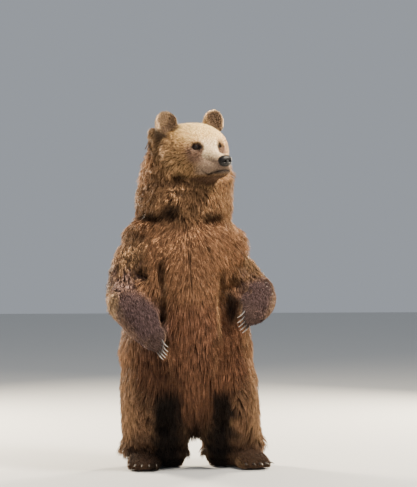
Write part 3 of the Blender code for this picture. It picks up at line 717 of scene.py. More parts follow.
def with_lids(at):
    """Face places in the head's frame, drawn in round each eye and opened between its lids."""
    for side in (-1, 1):
        out = eye_axes(side)[1]
        depth, h, v = eye_offsets(at, side)
        reach = np.hypot(h, v * 1.15)
        lid = np.sqrt(np.maximum(LID_RADIUS**2 - np.minimum(reach, LID_RADIUS * 0.98) ** 2, 0.0))
        pull = ramp(reach, LID_START, LID_END) * (np.abs(depth) < LID_ZONE)
        target = depth + (lid - depth) * pull
        almond = np.abs(v) / (EYE_OPENING[1] * np.maximum(1 - (h / EYE_OPENING[0]) ** 2, 0.02))
        opened = (almond < 1.0) & (np.abs(h) < EYE_OPENING[0]) & (np.abs(depth) < LID_ZONE)
        target = np.where(opened, np.minimum(target, OPENING_FLOOR), target)
        at = at + out * (target - depth)[:, None]
    return at


def mouth_height(forward):
    """Height of the line between the lips."""
    corner = 0.022 * ramp(forward, 0.218, 0.180)
    droop = 0.008 * ramp(forward, 0.262, 0.220)
    return MOUTH_HEIGHT - droop + corner + 0.006 * ramp(forward, 0.262, 0.292)


def with_mouth(at, inward):
    """Presses the line of the mouth into the lips."""
    forward, height = at[:, 0], at[:, 2]
    off = height - mouth_height(forward)
    here = ramp(forward, 0.182, 0.205)
    groove = GROOVE_DEPTH * np.exp(-((off / GROOVE_WIDTH) ** 2)) * here
    lip = LIP_SWELL * np.exp(-(((off + LIP_BELOW) / LIP_WIDTH) ** 2)) * here
    return at + inward * (groove - lip)[:, None]


def face_thinning(at, weights):
    """How much thinner the coat is on muzzle and forehead than on the cheeks."""
    crown = ramp(at[:, 2], 0.0, 0.06) * ramp(at[:, 0], -0.12, -0.02)
    crown = crown * share_of(weights, "head")
    return (1 - 0.72 * muzzle_share(at)) * (1 - 0.40 * crown)


def with_wide_ears(at, weights):
    """Ear places in the head's frame, spread sideways from the ear's middle."""
    at = at.copy()
    for side, name in ((-1, "ear_right"), (1, "ear_left")):
        middle = side * (EAR_AT.y + math.tan(EAR_SPLAY) * (at[:, 2] - EAR_AT.z))
        at[:, 1] += EAR_WIDENING * share_of(weights, name) * (at[:, 1] - middle)
    return at


def ball_share(points, patch):
    """1 in the middle of a patch, 0 from its border out."""
    away = np.linalg.norm((points - np.array(patch.at)) / np.array(patch.size), axis=1)
    return ramp(away, 1.0, 0.55)


def strength(points, patch):
    """How strongly a patch shows at each place."""
    return patch.amount * ball_share(points, patch)


def hollow_share(points, inward):
    """How deep in a hollow or crease each place is, 0 to 1, on the front."""
    share = np.zeros(len(points))
    for hollow in HOLLOWS + LEG_GAPS:
        share = np.maximum(share, ball_share(points, hollow))
    for crease in CREASES:
        share = np.maximum(share, CREASE_SHARE * ball_share(points, crease))
    return share * ramp(inward[:, 1], 0.05, 0.5)


def drawn_in(outline, labels):
    """Draws the coat's outline in to the skin below it."""
    edges = edge_pairs(outline)
    points = places(outline)
    weights = weights_of(labels.of(points), edges, rounds=14)
    inward = -unit(relaxed(normals(outline), edges, rounds=6))
    depth = coat_values(weights)[:, DEPTH]
    depth *= face_thinning(to_head(points), weights)
    depth += HOLLOW_DEPTH * hollow_share(points, inward)
    points = relaxed(points + inward * depth[:, None], edges, rounds=3)
    points = from_head(with_wide_ears(to_head(points), weights))
    points[:, 2] = np.maximum(points[:, 2], 0.0)
    set_places(outline, points)


def finish_face(mesh):
    """Softens the face, then shapes its lids and lips."""
    edges = edge_pairs(mesh)
    points = places(mesh)
    at = to_head(points)
    face = ramp(at[:, 0], 0.055, 0.085) * (np.abs(at[:, 1]) < 0.14) * (at[:, 2] < 0.09)
    softer = relaxed(points, edges, rounds=6)
    points += (softer - points) * face[:, None]
    inward = to_head(np.array(HEAD_CENTRE) - relaxed(normals(mesh), edges, rounds=4))
    set_places(mesh, from_head(with_mouth(with_lids(to_head(points)), unit(inward))))


def build_skin(labels):
    outline = fused_outline()
    drawn_in(outline, labels)
    mesh = finer_face(outline)
    bpy.data.meshes.remove(outline)
    finish_face(mesh)
    mesh.shade_smooth()
    return mesh


# ---- the lie of the coat


def mean_place(*names):
    """The mean of the named nodes' middles."""
    return np.mean([node_middle(name) for name in names], axis=0)


def waves(points, size, seed):
    """Smooth noise between about -1 and 1, with lumps of the given size."""
    rng = np.random.default_rng(seed)
    total = np.zeros(len(points))
    for _ in range(7):
        way = unit(rng.normal(size=3))
        pitch = size * rng.uniform(0.7, 1.5)
        total += np.sin(points @ way * math.tau / pitch + rng.uniform(0, math.tau))
    return total / 2.6


def claw_names(paw, side):
    return [f"{paw}_claw_{side}_{k}" for k in range(1, 6)]


def limb_ways():
    """The way that hair points on each node, before it is laid flat on the skin."""
    ways = {}
    for side in SIDES:
        claws = mean_place(*claw_names("fore", side))
        upper = mean_place(f"upper_arm_{side}")
        fore = mean_place(f"forearm_{side}")
        paw = mean_place(f"forepaw_{side}")
        ways[f"upper_arm_{side}"] = 0.55 * unit(fore - upper) + np.array((0, 0, -0.75))
        ways[f"forearm_{side}"] = unit(paw - fore) + np.array((0, 0, -0.25))
        ways[f"forepaw_{side}"] = unit(claws - paw)
        toes = mean_place(*claw_names("hind", side))
        foot = mean_place(f"hindfoot_{side}")
        ways[f"hindfoot_{side}"] = unit(toes - foot) + np.array((0, 0, -0.5))
        ear = from_head(np.array((0.0, 0.1 if side == "left" else -0.1, 0.0)))
        ways[f"ear_{side}"] = unit(mean_place(f"ear_{side}") - ear)
    return ways


def body_way(points, outward):
    """Down the body, out from the breastbone, and a little back on the flanks."""
    way = np.zeros_like(points)
    way[:, 2] = -1.0
    front = ramp(-outward[:, 1], 0.1, 0.7)
    high = ramp(points[:, 2], 0.75, 1.20)
    aside = np.tanh((points[:, 0] - BREASTBONE_X) / 0.035)
    way[:, 0] += front * aside * (0.10 + 0.50 * high)
    way[:, 1] += 0.15 * (1 - front)
    way[:, 2] -= 0.6 * ramp(points[:, 2], 0.5, 0.3)
    return way


def head_way(at):
    """Back from the nose over the face, in the head's own frame."""
    way = np.empty_like(at)
    way[:, 0] = -1.0
    way[:, 1] = 2.2 * at[:, 1] + 0.25 * np.sign(at[:, 1]) * ramp(np.abs(at[:, 1]), 0.0, 0.05)
    way[:, 1] *= 1 - 0.7 * ramp(at[:, 2], -0.08, -0.15)
    lift = ramp(at[:, 2], -0.03, 0.05) * ramp(at[:, 0], 0.06, 0.16)
    way[:, 2] = 0.9 * lift - 1.1 * ramp(at[:, 2], -0.03, -0.14)
    way[:, 2] -= 1.2 * ramp(at[:, 0], 0.06, -0.06)
    for side in (-1, 1):
        across, up = eye_axes(side)[2:]
        depth, h, v = eye_offsets(at, side)
        near = ramp(np.hypot(h / 1.3, v), 0.040, 0.018) * (np.abs(depth) < EYE_ZONE)
        round_eye = unit(h[:, None] * across + v[:, None] * up) + 0.3 * unit(way)
        way = way + near[:, None] * (2.0 * round_eye - way)
    return way


def lie_of_hair(points, outward, weights):
    """The way that hair points at each place, before it is laid flat on the skin."""
    ways = limb_ways()
    body = body_way(points, outward)
    head = head_way(to_head(points)) @ np.array(HEAD_TURN).T
    total = np.zeros_like(points)
    for index, name in enumerate(FLESH):
        share = weights[:, index : index + 1]
        if name in HEAD_NODES:
            total += share * unit(head)
        else:
            total += share * unit(ways.get(name, body))
    return total


def laid_flat(ways, outward):
    """Ways turned into the plane of the skin."""
    return unit(ways - outward * (ways * outward).sum(axis=1, keepdims=True))


# ---- markings, painted light and painted shade


def painted_shade(points, hanging):
    """Painted shade: how near black the hair is at each place, in hollows, creases, the parting and
    between the legs.

    hanging is 1 at the tips of hair that hangs over the gaps between the legs, and stays brown.
    """
    dark = np.zeros(len(points))
    for hollow in HOLLOWS + CREASES + (PARTING,):
        dark = np.maximum(dark, strength(points, hollow))
    x, y, z = points.T
    x = x + 0.018 * waves(points, 0.07, 9)
    between = ramp(x, -0.235, -0.150) * ramp(x, 0.245, 0.175) * ramp(z, 0.45, 0.36)
    column = ramp(np.abs(x - 0.022), 0.095, 0.055) * (0.4 + 0.6 * ramp(z, 0.22, 0.36))
    between = between * ramp(y, -0.190, -0.150) * ramp(y, 0.17, 0.06)
    between = 0.95 * between * (1 - 0.6 * column)
    for gap in LEG_GAPS:
        between = np.maximum(between, strength(points, gap))
    return np.maximum(dark, between * (1 - 0.9 * hanging * column))


def painted(root, tip, amount, paint):
    """Both colours moved towards a paint's (or a coat's) by the amount at each place."""
    share = amount[:, None]
    return (
        root + share * (np.array(paint.root) - root),
        tip + share * (np.array(paint.tip) - tip),
    )


def body_markings(points, outward, root, tip, weights):
    """Paler, more golden hair on the sides, partly painted rim light; the dark of the forelegs fades in
    above the elbow.
    """
    # paler, more golden tips where the body faces sideways: partly the hair's own colour, partly
    # painted rim light
    side = ramp(np.abs(outward[:, 0]), 0.55, 0.95) * ramp(points[:, 2], 1.34, 1.20)
    side = side * (0.75 + 0.25 * ramp(points[:, 2] + 2 * points[:, 0], 0.15, 0.55))
    tail = share_of(weights, "tail")
    side = side * (1 - 0.7 * share_of(weights, "upper_arm_right")) * (1 - tail)
    tip = tip + SIDE_PALING * side[:, None] * (SIDE_TIP - tip)
    # painted shade on all that faces back, and on the tail
    back = np.maximum(ramp(outward[:, 1], 0.1, 0.7), tail)[:, None]
    root, tip = root * (1 - BACK_SHADE * back), tip * (1 - BACK_SHADE * back)
    # painted light: the bear's left side paler and warmer
    left = ramp(points[:, 0], 0.02, 0.14)[:, None]
    tip = tip * (1 + left * LEFT_SIDE_LIGHT)
    for tone in TONES:
        tip = tip * (1 + strength(points, tone))[:, None]
    # painted shade on the right thigh below the belly's hanging hair
    thigh = strength(points, THIGH_SHADE)[:, None]
    root, tip = root * (1 - thigh * ROOT_SHARE), tip * (1 - thigh)
    tip = tip * (1 - LOW_DARKENING * ramp(points[:, 2], 0.85, 0.50) * (1 - side))[:, None]
    upper = share_of(weights, "upper_arm_left", "upper_arm_right")
    height = points[:, 2] + 0.035 * waves(points, 0.05, 3) + 0.10 * np.minimum(points[:, 0], 0)
    dusk = DUSK * upper * ramp(height, 1.02, 0.90)
    root, tip = painted(root, tip, dusk, COATS["forearm"])
    # painted rim light on the outer side of the right elbow
    tip = tip + strength(points, RIM_LIT_ELBOW)[:, None] * (ELBOW_RIM_LIGHT - tip)
    return root, tip


def ear_shares(at, facing, side):
    """How far each place lies in the ear's dark dish, partly painted shade, and on its pale rim, partly
    painted rim light.
    """
    rel = at - np.array((EAR_AT.x, side * EAR_AT.y, EAR_AT.z))
    across = rel[:, 1] * side + math.tan(EAR_SPLAY) * -rel[:, 2]
    away = np.hypot(across / EAR_HALF_WIDTH, rel[:, 2] / EAR_HALF_HEIGHT)
    inner = ramp(-across / EAR_HALF_WIDTH - 0.6 * rel[:, 2] / EAR_HALF_HEIGHT, -0.3, 0.6)
    # painted shade: the dish darker all over on the left ear, and on the inner side of the right ear
    shade = 0.76 + 0.20 * side
    dish = ramp(facing, 0.0, 0.4) * ramp(away - 0.25 * inner, 0.98, 0.66)
    dish = dish * (shade + (1 - shade) * inner)
    return dish, ramp(away, 0.78, 1.0) * (1 - 0.8 * inner)


def ear_markings(at, facing, root, tip, ear, side):
    """A pale rim, partly painted rim light; a dark dish, partly painted shade; painted shade round the
    ear's foot.
    """
    dish, rim = ear_shares(at, facing, side)
    root, tip = painted(root, tip, rim * ear * 0.9, EAR_RIM)
    root, tip = painted(root, tip, dish * ear, EAR_DISH)
    # painted shade round the ear's foot
    for foot in EAR_FEET:
        dark = strength(at * np.array((1, side, 1)), foot)
        root, tip = painted(root, tip, dark, EAR_FOOT_SHADE)
    return root, tip


def eye_markings(at, root, tip, share, side):
    """A shaded socket and dark lids."""
    depth, across, up = eye_offsets(at, side)
    near = (np.abs(depth) < EYE_ZONE) * share
    wide = 1.35 - 0.15 * side
    # painted shade in the socket round the eye
    socket = ramp(np.hypot((across + side * 0.004) / wide, up + 0.003), 0.033, 0.014)
    root, tip = painted(root, tip, socket * near * 0.85, EYE_SOCKET)
    lids = ramp(np.hypot((across + side * 0.003) / 2.2, up + 0.002), 0.0132, 0.0095)
    return painted(root, tip, lids * near, EYELID)


def face_shares(at):
    """How strongly each of the face's paints shows at each place, in the order they are laid."""
    forward, aside, height = at[:, 0], np.abs(at[:, 1]), at[:, 2]
    # painted shade over the back of the head and the rear of the cheeks
    rear = ramp(forward, 0.095, 0.005) * ramp(height, 0.10, 0.02)
    crown = ramp(height, 0.00, 0.05) * ramp(forward, -0.13, 0.04) * ramp(aside, 0.160, 0.125)
    sides = ramp(forward, 0.13, 0.19) * ramp(height, -0.142, -0.128)
    # bridge and brow: partly paler hair, partly a painted highlight where light falls on them
    bridge = ramp(aside, 0.062, 0.037) * ramp(forward, 0.10, 0.16) * ramp(height, -0.08, -0.045)
    brow = ramp(height, 0.0, 0.05) * ramp(forward, -0.02, 0.08) * ramp(aside, 0.145, 0.060)
    stop = ramp(forward, 0.125, 0.150) * ramp(forward, 0.212, 0.178) * ramp(aside, 0.034, 0.052)
    stop = stop * ramp(height, -0.095, -0.060) * ramp(height, 0.006, -0.014)
    # painted shade under the jaw
    under = ramp(height, -0.130, -0.150) * ramp(forward, 0.02, 0.12)
    return (
        (0.85 * rear, NAPE_SHADE),
        (crown, CROWN),
        (sides, MUZZLE_SIDE),
        (bridge, NOSE_BRIDGE),
        (brow, BROW),
        (0.85 * stop, BELOW_EYE),
        (under, UNDER_JAW_SHADE),
    )


def head_markings(points, outward, root, tip, weights):
    """Golden forehead and bridge with a painted highlight, greyer muzzle, painted shade under the jaw
    and on the nape, dark eyelids and lips.
    """
    at = to_head(points)
    facing = (outward @ np.array(HEAD_TURN))[:, 0]
    share = share_of(weights, *HEAD_NODES)
    for amount, paint in face_shares(at):
        root, tip = painted(root, tip, amount * share, paint)
    for side, ear in ((-1, "ear_right"), (1, "ear_left")):
        root, tip = ear_markings(at, facing, root, tip, share_of(weights, ear), side)
        root, tip = eye_markings(at, root, tip, share, side)
    forward = at[:, 0]
    thick = 0.0040 + 0.0015 * ramp(forward, 0.200, 0.240) + 0.0045 * ramp(forward, 0.250, 0.285)
    lips = np.exp(-(((at[:, 2] - mouth_height(forward) + thick / 3) / thick) ** 2))
    return painted(root, tip, lips * ramp(forward, 0.180, 0.200) * share, LIPS)


# ---- the skin's fields


def triangles_of(mesh):
    mesh.calc_loop_triangles()
    return (read(mesh.loop_triangles, key, 3, np.int32) for key in ("vertices", "loops"))


def unwrap(thing):
    """An unwrap of the skin's own shape, in the map named OFBake."""
    thing.data.uv_layers.new(name="OFBake")
    bpy.context.view_layer.objects.active = thing
    thing.select_set(True)
    bpy.ops.object.mode_set(mode="EDIT")
    bpy.ops.mesh.select_all(action="SELECT")
    bpy.ops.uv.smart_project(angle_limit=math.radians(66), island_margin=0.001)
    bpy.ops.object.mode_set(mode="OBJECT")
    thing.select_set(False)


def uv_of(mesh):
    return read(mesh.uv_layers["OFBake"].data, "uv", 2).astype(float)


class Fields(NamedTuple):
    """What the coat needs to know at every vertex of the skin."""

    points: np.ndarray
    outward: np.ndarray
    way: np.ndarray
    weights: np.ndarray
    values: np.ndarray  # depth, length, width, density, pitch, gather and stray
    root: np.ndarray
    tip: np.ndarray


def skin_fields(mesh, labels):
    """Works out the coat at every vertex of the skin."""
    points = places(mesh)
    edges = edge_pairs(mesh)
    outward = unit(relaxed(normals(mesh), edges, rounds=3))
    weights = weights_of(labels.of(points), edges, rounds=12)
    values = coat_values(weights)
    colours = relaxed(values[:, MEASURES:], edges, rounds=40)
    root, tip = body_markings(points, outward, colours[:, :3], colours[:, 3:], weights)
    root, tip = head_markings(points, outward, root, tip, weights)
    values = shorter_on_face(points, values[:, :MEASURES].copy(), weights)
    fringe = ramp(points[:, 2], 0.52, 0.38) * ramp(outward[:, 1], 0.4, -0.1)
    fringe = fringe * share_of(weights, "belly")
    values[:, LENGTH] *= 1 + 0.7 * fringe
    values[:, GATHER] *= 1 + 0.5 * fringe
    way = laid_flat(relaxed(lie_of_hair(points, outward, weights), edges, rounds=8), outward)
    return Fields(points, outward, way, weights, values, root, tip)


def bare_places(points, at):
    """Where no hair grows: the soles, the eyes, the line of the mouth and the nose."""
    forward, aside, height = at[:, 0], np.abs(at[:, 1]), at[:, 2]
    bare = points[:, 2] < SOLE_HEIGHT
    bare |= (np.abs(height - mouth_height(forward)) < BARE_LIP) & (forward > 0.215)
    bare |= (forward > 0.272) & (np.abs(height - NOSE[0].up) < 0.022) & (aside < 0.03)
    for side in (-1, 1):
        depth, across, up = eye_offsets(at, side)
        bare |= (np.hypot(across / 1.45, up) < BARE_EYE) & (np.abs(depth) < EYE_ZONE)
    return bare


def shorter_on_face(points, values, weights):
    """The coat's numbers, cut down on muzzle and forehead, and bare where no hair grows."""
    at = to_head(points)
    face = muzzle_share(at)
    crown = ramp(at[:, 2], 0.02, 0.07) * ramp(at[:, 0], -0.10, -0.02) * (1 - face)
    crown = crown * share_of(weights, "head")
    nosewards = ramp(at[:, 0], 0.16, 0.22)
    values[:, DEPTH] *= face_thinning(at, weights)
    values[:, LENGTH] *= (1 - 0.72 * face) * (1 - 0.35 * crown) * (1 - 0.35 * nosewards)
    values[:, WIDTH] *= (1 - 0.42 * face) * (1 - 0.15 * crown)
    values[:, DENSITY] *= (1 + 1.3 * face) * (1 + 0.35 * crown)
    values[:, PITCH] *= 1 - 0.4 * face
    values[:, DENSITY] *= 1 - 0.4 * ball_share(points, PARTING)
    values[bare_places(points, at), DENSITY] = 0.0
    return values


# ---- tufts


class Roots(NamedTuple):
    """Where tufts grow, and the skin's fields there."""

    points: np.ndarray
    outward: np.ndarray
    way: np.ndarray
    values: np.ndarray
    root: np.ndarray
    tip: np.ndarray
    uv: np.ndarray
    owner: np.ndarray


def scattered(mesh, fields, density, rng):
    """Roots strewn over the skin, density to the square metre."""
    corners, loops = triangles_of(mesh)
    a, b, c = (fields.points[corners[:, k]] for k in range(3))
    area = np.linalg.norm(np.cross(b - a, c - a), axis=1) / 2
    wanted = area * density[corners].mean(axis=1)
    ends = np.cumsum(wanted)
    count = int(ends[-1])
    picks = np.searchsorted(ends, (np.arange(count) + rng.random(count)) * ends[-1] / count)
    picks = np.minimum(picks, len(corners) - 1)
    u, v = rng.random((2, count))
    over = u + v > 1
    u[over], v[over] = 1 - u[over], 1 - v[over]
    shares = np.stack((1 - u - v, u, v), axis=1)

    def mixed(values):
        return (values[corners[picks]] * shares[:, :, None]).sum(axis=1)

    uv = (uv_of(mesh)[loops[picks]] * shares[:, :, None]).sum(axis=1)
    owner = fields.weights[corners[picks, 0]].argmax(axis=1)
    outward = unit(mixed(fields.outward))
    return Roots(
        mixed(fields.points),
        outward,
        laid_flat(mixed(fields.way), outward),
        mixed(fields.values),
        mixed(fields.root),
        mixed(fields.tip),
        uv,
        owner,
    )


def turned(ways, outward, angles):
    """Ways turned in the plane of the skin."""
    sideways = np.cross(outward, ways)
    return ways * np.cos(angles)[:, None] + sideways * np.sin(angles)[:, None]


def strands(roots, turn, stretch, lift, levels):
    """The middle line of each lock: up out of the skin, over, and along the body."""
    way = turned(roots.way, roots.outward, turn)
    length = roots.values[:, LENGTH] * stretch
    rise = roots.values[:, DEPTH] * lift
    droop = roots.values[:, LENGTH] * DROOP
    points = roots.points - roots.outward * (rise * SINK)[:, None]
    lines = []
    for t in np.linspace(0.0, 1.0, levels):
        up = rise * (1 - (1 - t) ** 1.8)
        line = points + way * (length * t)[:, None] + roots.outward * up[:, None]
        line[:, 2] -= droop * t * t
        lines.append(line)
    return np.stack(lines, axis=1)


def nearest(centres, points):
    """The number of the centre that is nearest to each point."""
    tree = KDTree(len(centres))
    for k, centre in enumerate(centres):
        tree.insert(centre, k)
    tree.balance()
    return np.array([tree.find(point)[1] for point in points])


def clumped_lines(roots, clumps, levels, rng):
    """Lines of all locks, drawn together towards the middle of their clump."""
    home = nearest(clumps.points, roots.points)
    clump_rng = np.random.default_rng(SEED + 1)
    count = len(clumps.points)
    stretch = clump_rng.uniform(*CLUMP_STRETCH, count)
    turn = clump_rng.normal(0.0, CLUMP_TURN, count) + waves(clumps.points, 0.12, 5)
    turn = clumps.values[:, STRAY] * turn
    unevenness = 0.3 + 0.7 * ramp(clumps.values[:, DEPTH], 0.012, 0.024)
    lift = 0.9 + unevenness * clump_rng.uniform(*CLUMP_LIFT, count)
    guide = strands(clumps, turn, stretch, lift, levels)

    count = len(roots.points)
    own_turn = turn[home] + roots.values[:, STRAY] * rng.normal(0.0, LOCK_TURN, count)
    own_stretch = stretch[home] * rng.uniform(*LOCK_STRETCH, count)
    own_lift = lift[home] * rng.uniform(*LOCK_LIFT, count)
    own = strands(roots, own_turn, own_stretch, own_lift, levels)
    gather = (roots.values[:, GATHER] * rng.uniform(*LOCK_GATHER, count))[:, None]
    gather = gather * np.linspace(0.0, 1.0, levels)[None] ** 1.4
    return own + (guide[home] - own) * gather[:, :, None], home


def lock_mesh(lines, outward, width, levels):
    """Vertices and triangles of closed three-sided locks round their middle lines."""
    profile = np.interp(np.linspace(0, 1, levels), (0, 0.35, 0.75, 1), (0.75, 1.0, 0.7, 0.0))
    rings = []
    for k in range(levels - 1):
        ahead = unit(lines[:, k + 1] - lines[:, max(k - 1, 0)])
        side = unit(np.cross(ahead, outward))
        up = np.cross(side, ahead)
        half = (width * profile[k] / 2)[:, None]
        rings.append(lines[:, k] - side * half)
        rings.append(lines[:, k] + side * half)
        rings.append(lines[:, k] + up * half * 0.75)
    rings.append(lines[:, -1])
    points = np.stack(rings, axis=1)
    triangles = [(0, 2, 1)]
    for k in range(levels - 2):
        for j in range(3):
            a, b = 3 * k + j, 3 * k + (j + 1) % 3
            c, d = a + 3, b + 3
            triangles += [(a, b, d), (a, d, c)]
    top = 3 * (levels - 2)
    apex = 3 * (levels - 1)
    for j in range(3):
        triangles.append((top + j, top + (j + 1) % 3, apex))
    offsets = (np.arange(len(lines)) * (apex + 1))[:, None, None]
    return points, (np.array(triangles)[None] + offsets).reshape(-1, 3)


def lock_shades(levels):
    """How far from root to tip each vertex of a lock is."""
    return np.append(np.repeat(np.arange(levels - 1) / (levels - 1), 3), 1.0)


def lock_uv(roots, levels):
    """Each lock's patch of the map: across it, and from root to tip."""
    across = np.array([0.0, 1.0, 0.5] * (levels - 1) + [0.5])
    patch = np.stack((across, lock_shades(levels)), axis=1) - 0.5
    return roots.uv[:, None, :] + patch[None] * UV_PATCH


def set_colours(mesh, colours):
    """Gives every vertex the colour that the materials take up."""
    layer = mesh.color_attributes.new("coat", "FLOAT_COLOR", "POINT")
    full = np.ones((len(colours), 4), np.float32)
    full[:, :3] = colours
    layer.data.foreach_set("color", full.ravel())


def set_uv(mesh, vertex_uv, triangles):
    layer = mesh.uv_layers.new(name="OFBake")
    layer.data.foreach_set("uv", vertex_uv[triangles.ravel()].astype(np.float32).ravel())


def add_coat_piece(name, roots, lines, home, levels, finish, rng):
    """One mesh of locks, coloured from root to tip and dark in the hollows."""
    width = roots.values[:, WIDTH] * rng.uniform(*LOCK_WIDTH, len(lines))
    points, triangles = lock_mesh(lines, roots.outward, width, levels)
    points[:, :, 2] = np.maximum(points[:, :, 2], LOWEST_HAIR)
    shade = lock_shades(levels)[None, :, None]
    spread = 0.60 + 0.40 * ramp(roots.values[:, DEPTH], 0.006, 0.022)
    clump_tone = np.random.default_rng(SEED + 2).normal(0.0, CLUMP_TONE, home.max() + 1)[home]
    tone = clump_tone + rng.normal(0.0, LOCK_TONE, len(lines))
    tone = np.exp(tone * spread)[:, None, None]
    # darker towards the root: partly the hair's own colour, partly painted shade deep in the coat
    colours = roots.root[:, None] + (roots.tip - roots.root)[:, None] * shade**1.1
    hanging = (roots.owner == FLESH.index("belly"))[:, None] * lock_shades(levels) ** 0.6
    # painted shade: hair near black in the hollows, creases, the parting and between the legs
    dark = painted_shade(points.reshape(-1, 3), hanging.ravel()).reshape(len(lines), -1, 1)
    colours = colours + dark * (SHADE_COLOUR - colours)
    colours = np.clip(colours * tone, 0.0, 1.0)
    mesh = mesh_from_arrays(name, points.reshape(-1, 3), triangles)
    mesh.shade_smooth()
    set_colours(mesh, colours.reshape(-1, 3))
    set_uv(mesh, lock_uv(roots, levels).reshape(-1, 2), triangles)
    mesh.materials.append(finish)
    piece = new_object(name, mesh)
    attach(piece, "root")


def subset(roots, chosen):
    return Roots(*(values[chosen] for values in roots))


def coat_bands(roots):
    """The coat's pieces, none of them too large: each one's name, levels and roots."""
    for name, nodes in COAT_PIECES.items():
        mine = np.isin(roots.owner, [FLESH.index(node) for node in nodes])
        short = mine & (roots.values[:, LENGTH] <= SHORT_COAT)
        if short.sum() < FEW_LOCKS:
            short[:] = False
        for suffix, chosen, levels in (
            ("long", mine & ~short, LONG_LEVELS),
            ("short", short, SHORT_LEVELS),
        ):
            if not chosen.any():
                continue
            part = subset(roots, chosen)
            each = 1 + 6 * (levels - 2) + 3  # triangles of a lock: root, sides and tip
            bands = math.ceil(len(part.points) * each / MAX_TRIANGLES)
            from_front = part.points[:, 1].argsort()
            for k, band in enumerate(np.array_split(from_front, bands)):
                yield f"{name}_{suffix}_{k + 1}", levels, subset(part, band)


def build_coat(mesh, fields, finish):
    """Strews roots and the middles of clumps over the skin, and grows the locks."""
    rng = np.random.default_rng(SEED)
    density = fields.values[:, DENSITY]
    roots = scattered(mesh, fields, density, rng)
    clumps = scattered(mesh, fields, (density > 0) / fields.values[:, PITCH] ** 2, rng)
    for name, levels, some in coat_bands(roots):
        lines, home = clumped_lines(some, clumps, levels, rng)
        add_coat_piece(name, some, lines, home, levels, finish, rng)


def coat_material(name, roughness):
    """Takes the colour that the mesh carries, broken up by a little noise."""
    finish = bpy.data.materials.new(name)
    finish.use_nodes = True
    nodes, links = finish.node_tree.nodes, finish.node_tree.links
    shader = nodes["Principled BSDF"]
    shader.inputs["Roughness"].default_value = roughness
    shader.inputs["Specular IOR Level"].default_value = HAIR_SHINE
    colour = nodes.new("ShaderNodeAttribute")
    colour.attribute_name = "coat"
    place = nodes.new("ShaderNodeTexCoord")
    noise = nodes.new("ShaderNodeTexNoise")
    noise.inputs["Scale"].default_value = GRAIN
    links.new(place.outputs["Object"], noise.inputs["Vector"])
    dim = nodes.new("ShaderNodeMapRange")
    for socket, value in (("From Min", 0.3), ("From Max", 0.7), ("To Min", 0.8), ("To Max", 1.2)):
        dim.inputs[socket].default_value = value
    links.new(noise.outputs["Fac"], dim.inputs["Value"])
    mix = nodes.new("ShaderNodeVectorMath")
    mix.operation = "SCALE"
    links.new(colour.outputs["Color"], mix.inputs[0])
    links.new(dim.outputs["Result"], mix.inputs["Scale"])
    links.new(mix.outputs["Vector"], shader.inputs["Base Color"])
    return finish


def build_hide():
    """The skin, which stands for every node of flesh, and the coat on it."""
    labels = Labels()
    mesh = build_skin(labels)
    skin = new_object("skin", mesh)
    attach(skin, "root")
    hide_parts(*FLESH)
    unwrap(skin)
    fields = skin_fields(mesh, labels)
    # the skin under the fur takes the roots' colour: partly the hair's own darker base, partly painted
    # shade under the coat
    set_colours(mesh, fields.root)
    mesh.materials.append(coat_material("skin", roughness=0.8))
    build_coat(mesh, fields, coat_material("coat", roughness=0.6))


# ---- eyes, nose and claws


def glossy(name, roughness, shine=0.5):
    """A smooth wet or horny finish that takes the colour the mesh carries."""
    finish = coat_material(name, roughness)
    shader = finish.node_tree.nodes["Principled BSDF"]
    shader.inputs["Specular IOR Level"].default_value = shine
    return finish


def build_eye(side, finish):
    """A dark brown eye with a black pupil, set in its socket."""
    name = "eye_left" if side > 0 else "eye_right"
    middle, out = eye_axes(side)[:2]
    shape = bmesh.new()
    bmesh.ops.create_uvsphere(shape, u_segments=48, v_segments=32, radius=EYE_RADIUS)
    to_front = Vector((0, 0, 1)).rotation_difference(Vector(out)).to_matrix().to_4x4()
    bmesh.ops.transform(shape, matrix=to_front, verts=shape.verts)
    mesh = mesh_from_bmesh(name, shape)
    toward = unit(places(mesh)) @ out
    colours = np.tile(EYE_DARK, (len(toward), 1))
    for reach, colour in EYE_RINGS:
        colours[toward > math.cos(math.radians(reach))] = colour
    mesh.transform(HEAD_FRAME @ Matrix.Translation(middle))
    set_colours(mesh, colours)
    mesh.shade_smooth()
    mesh.materials.append(finish)
    eye = new_object(name + "_ball", mesh)
    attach(eye, "root")
    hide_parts(name)


def nostril_depth(at):
    """How deeply the nostrils and the groove between them are sunk in the nose pad."""
    depth = np.zeros(len(at))
    for side in (-1, 1):
        aside = at[:, 1] * side
        round_part = np.hypot((aside - 0.0135) / 0.0075, (at[:, 2] + 0.081) / 0.0068)
        wing = np.hypot((aside - 0.0235) / 0.0075, (at[:, 2] + 0.085 - 0.3 * (aside - 0.02)) / 0.0030)
        depth = np.maximum(depth, 0.012 * ramp(round_part, 1.15, 0.45))
        depth = np.maximum(depth, 0.007 * ramp(wing, 1.2, 0.4))
    groove = np.exp(-((at[:, 1] / 0.0016) ** 2)) * ramp(at[:, 2], -0.076, -0.088)
    return depth + 0.0020 * groove


def build_nose(finish):
    """A black leathery pad with two nostrils."""
    shape = loft(NOSE, Vector((0, 1, 0)), steps=14, around=96, squareness=2.5)
    mesh = mesh_from_bmesh("nose_pad", shape)
    at = places(mesh)
    front = ramp(at[:, 0], 0.280, 0.298)
    sunk = nostril_depth(at) * front
    grain = 0.00035 * waves(at, 0.0035, 11)
    at[:, 0] -= sunk
    at = at + normals(mesh) * grain[:, None]
    set_places(mesh, at)
    # painted shade: darker down in the nostrils
    shade = 1 - 0.85 * ramp(sunk, 0.001, 0.006)[:, None]
    set_colours(mesh, NOSE_COLOUR * shade)
    mesh.transform(HEAD_FRAME)
    mesh.shade_smooth()
    mesh.materials.append(finish)
    nose = new_object("nose_pad", mesh)
    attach(nose, "root")
    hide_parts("nose")


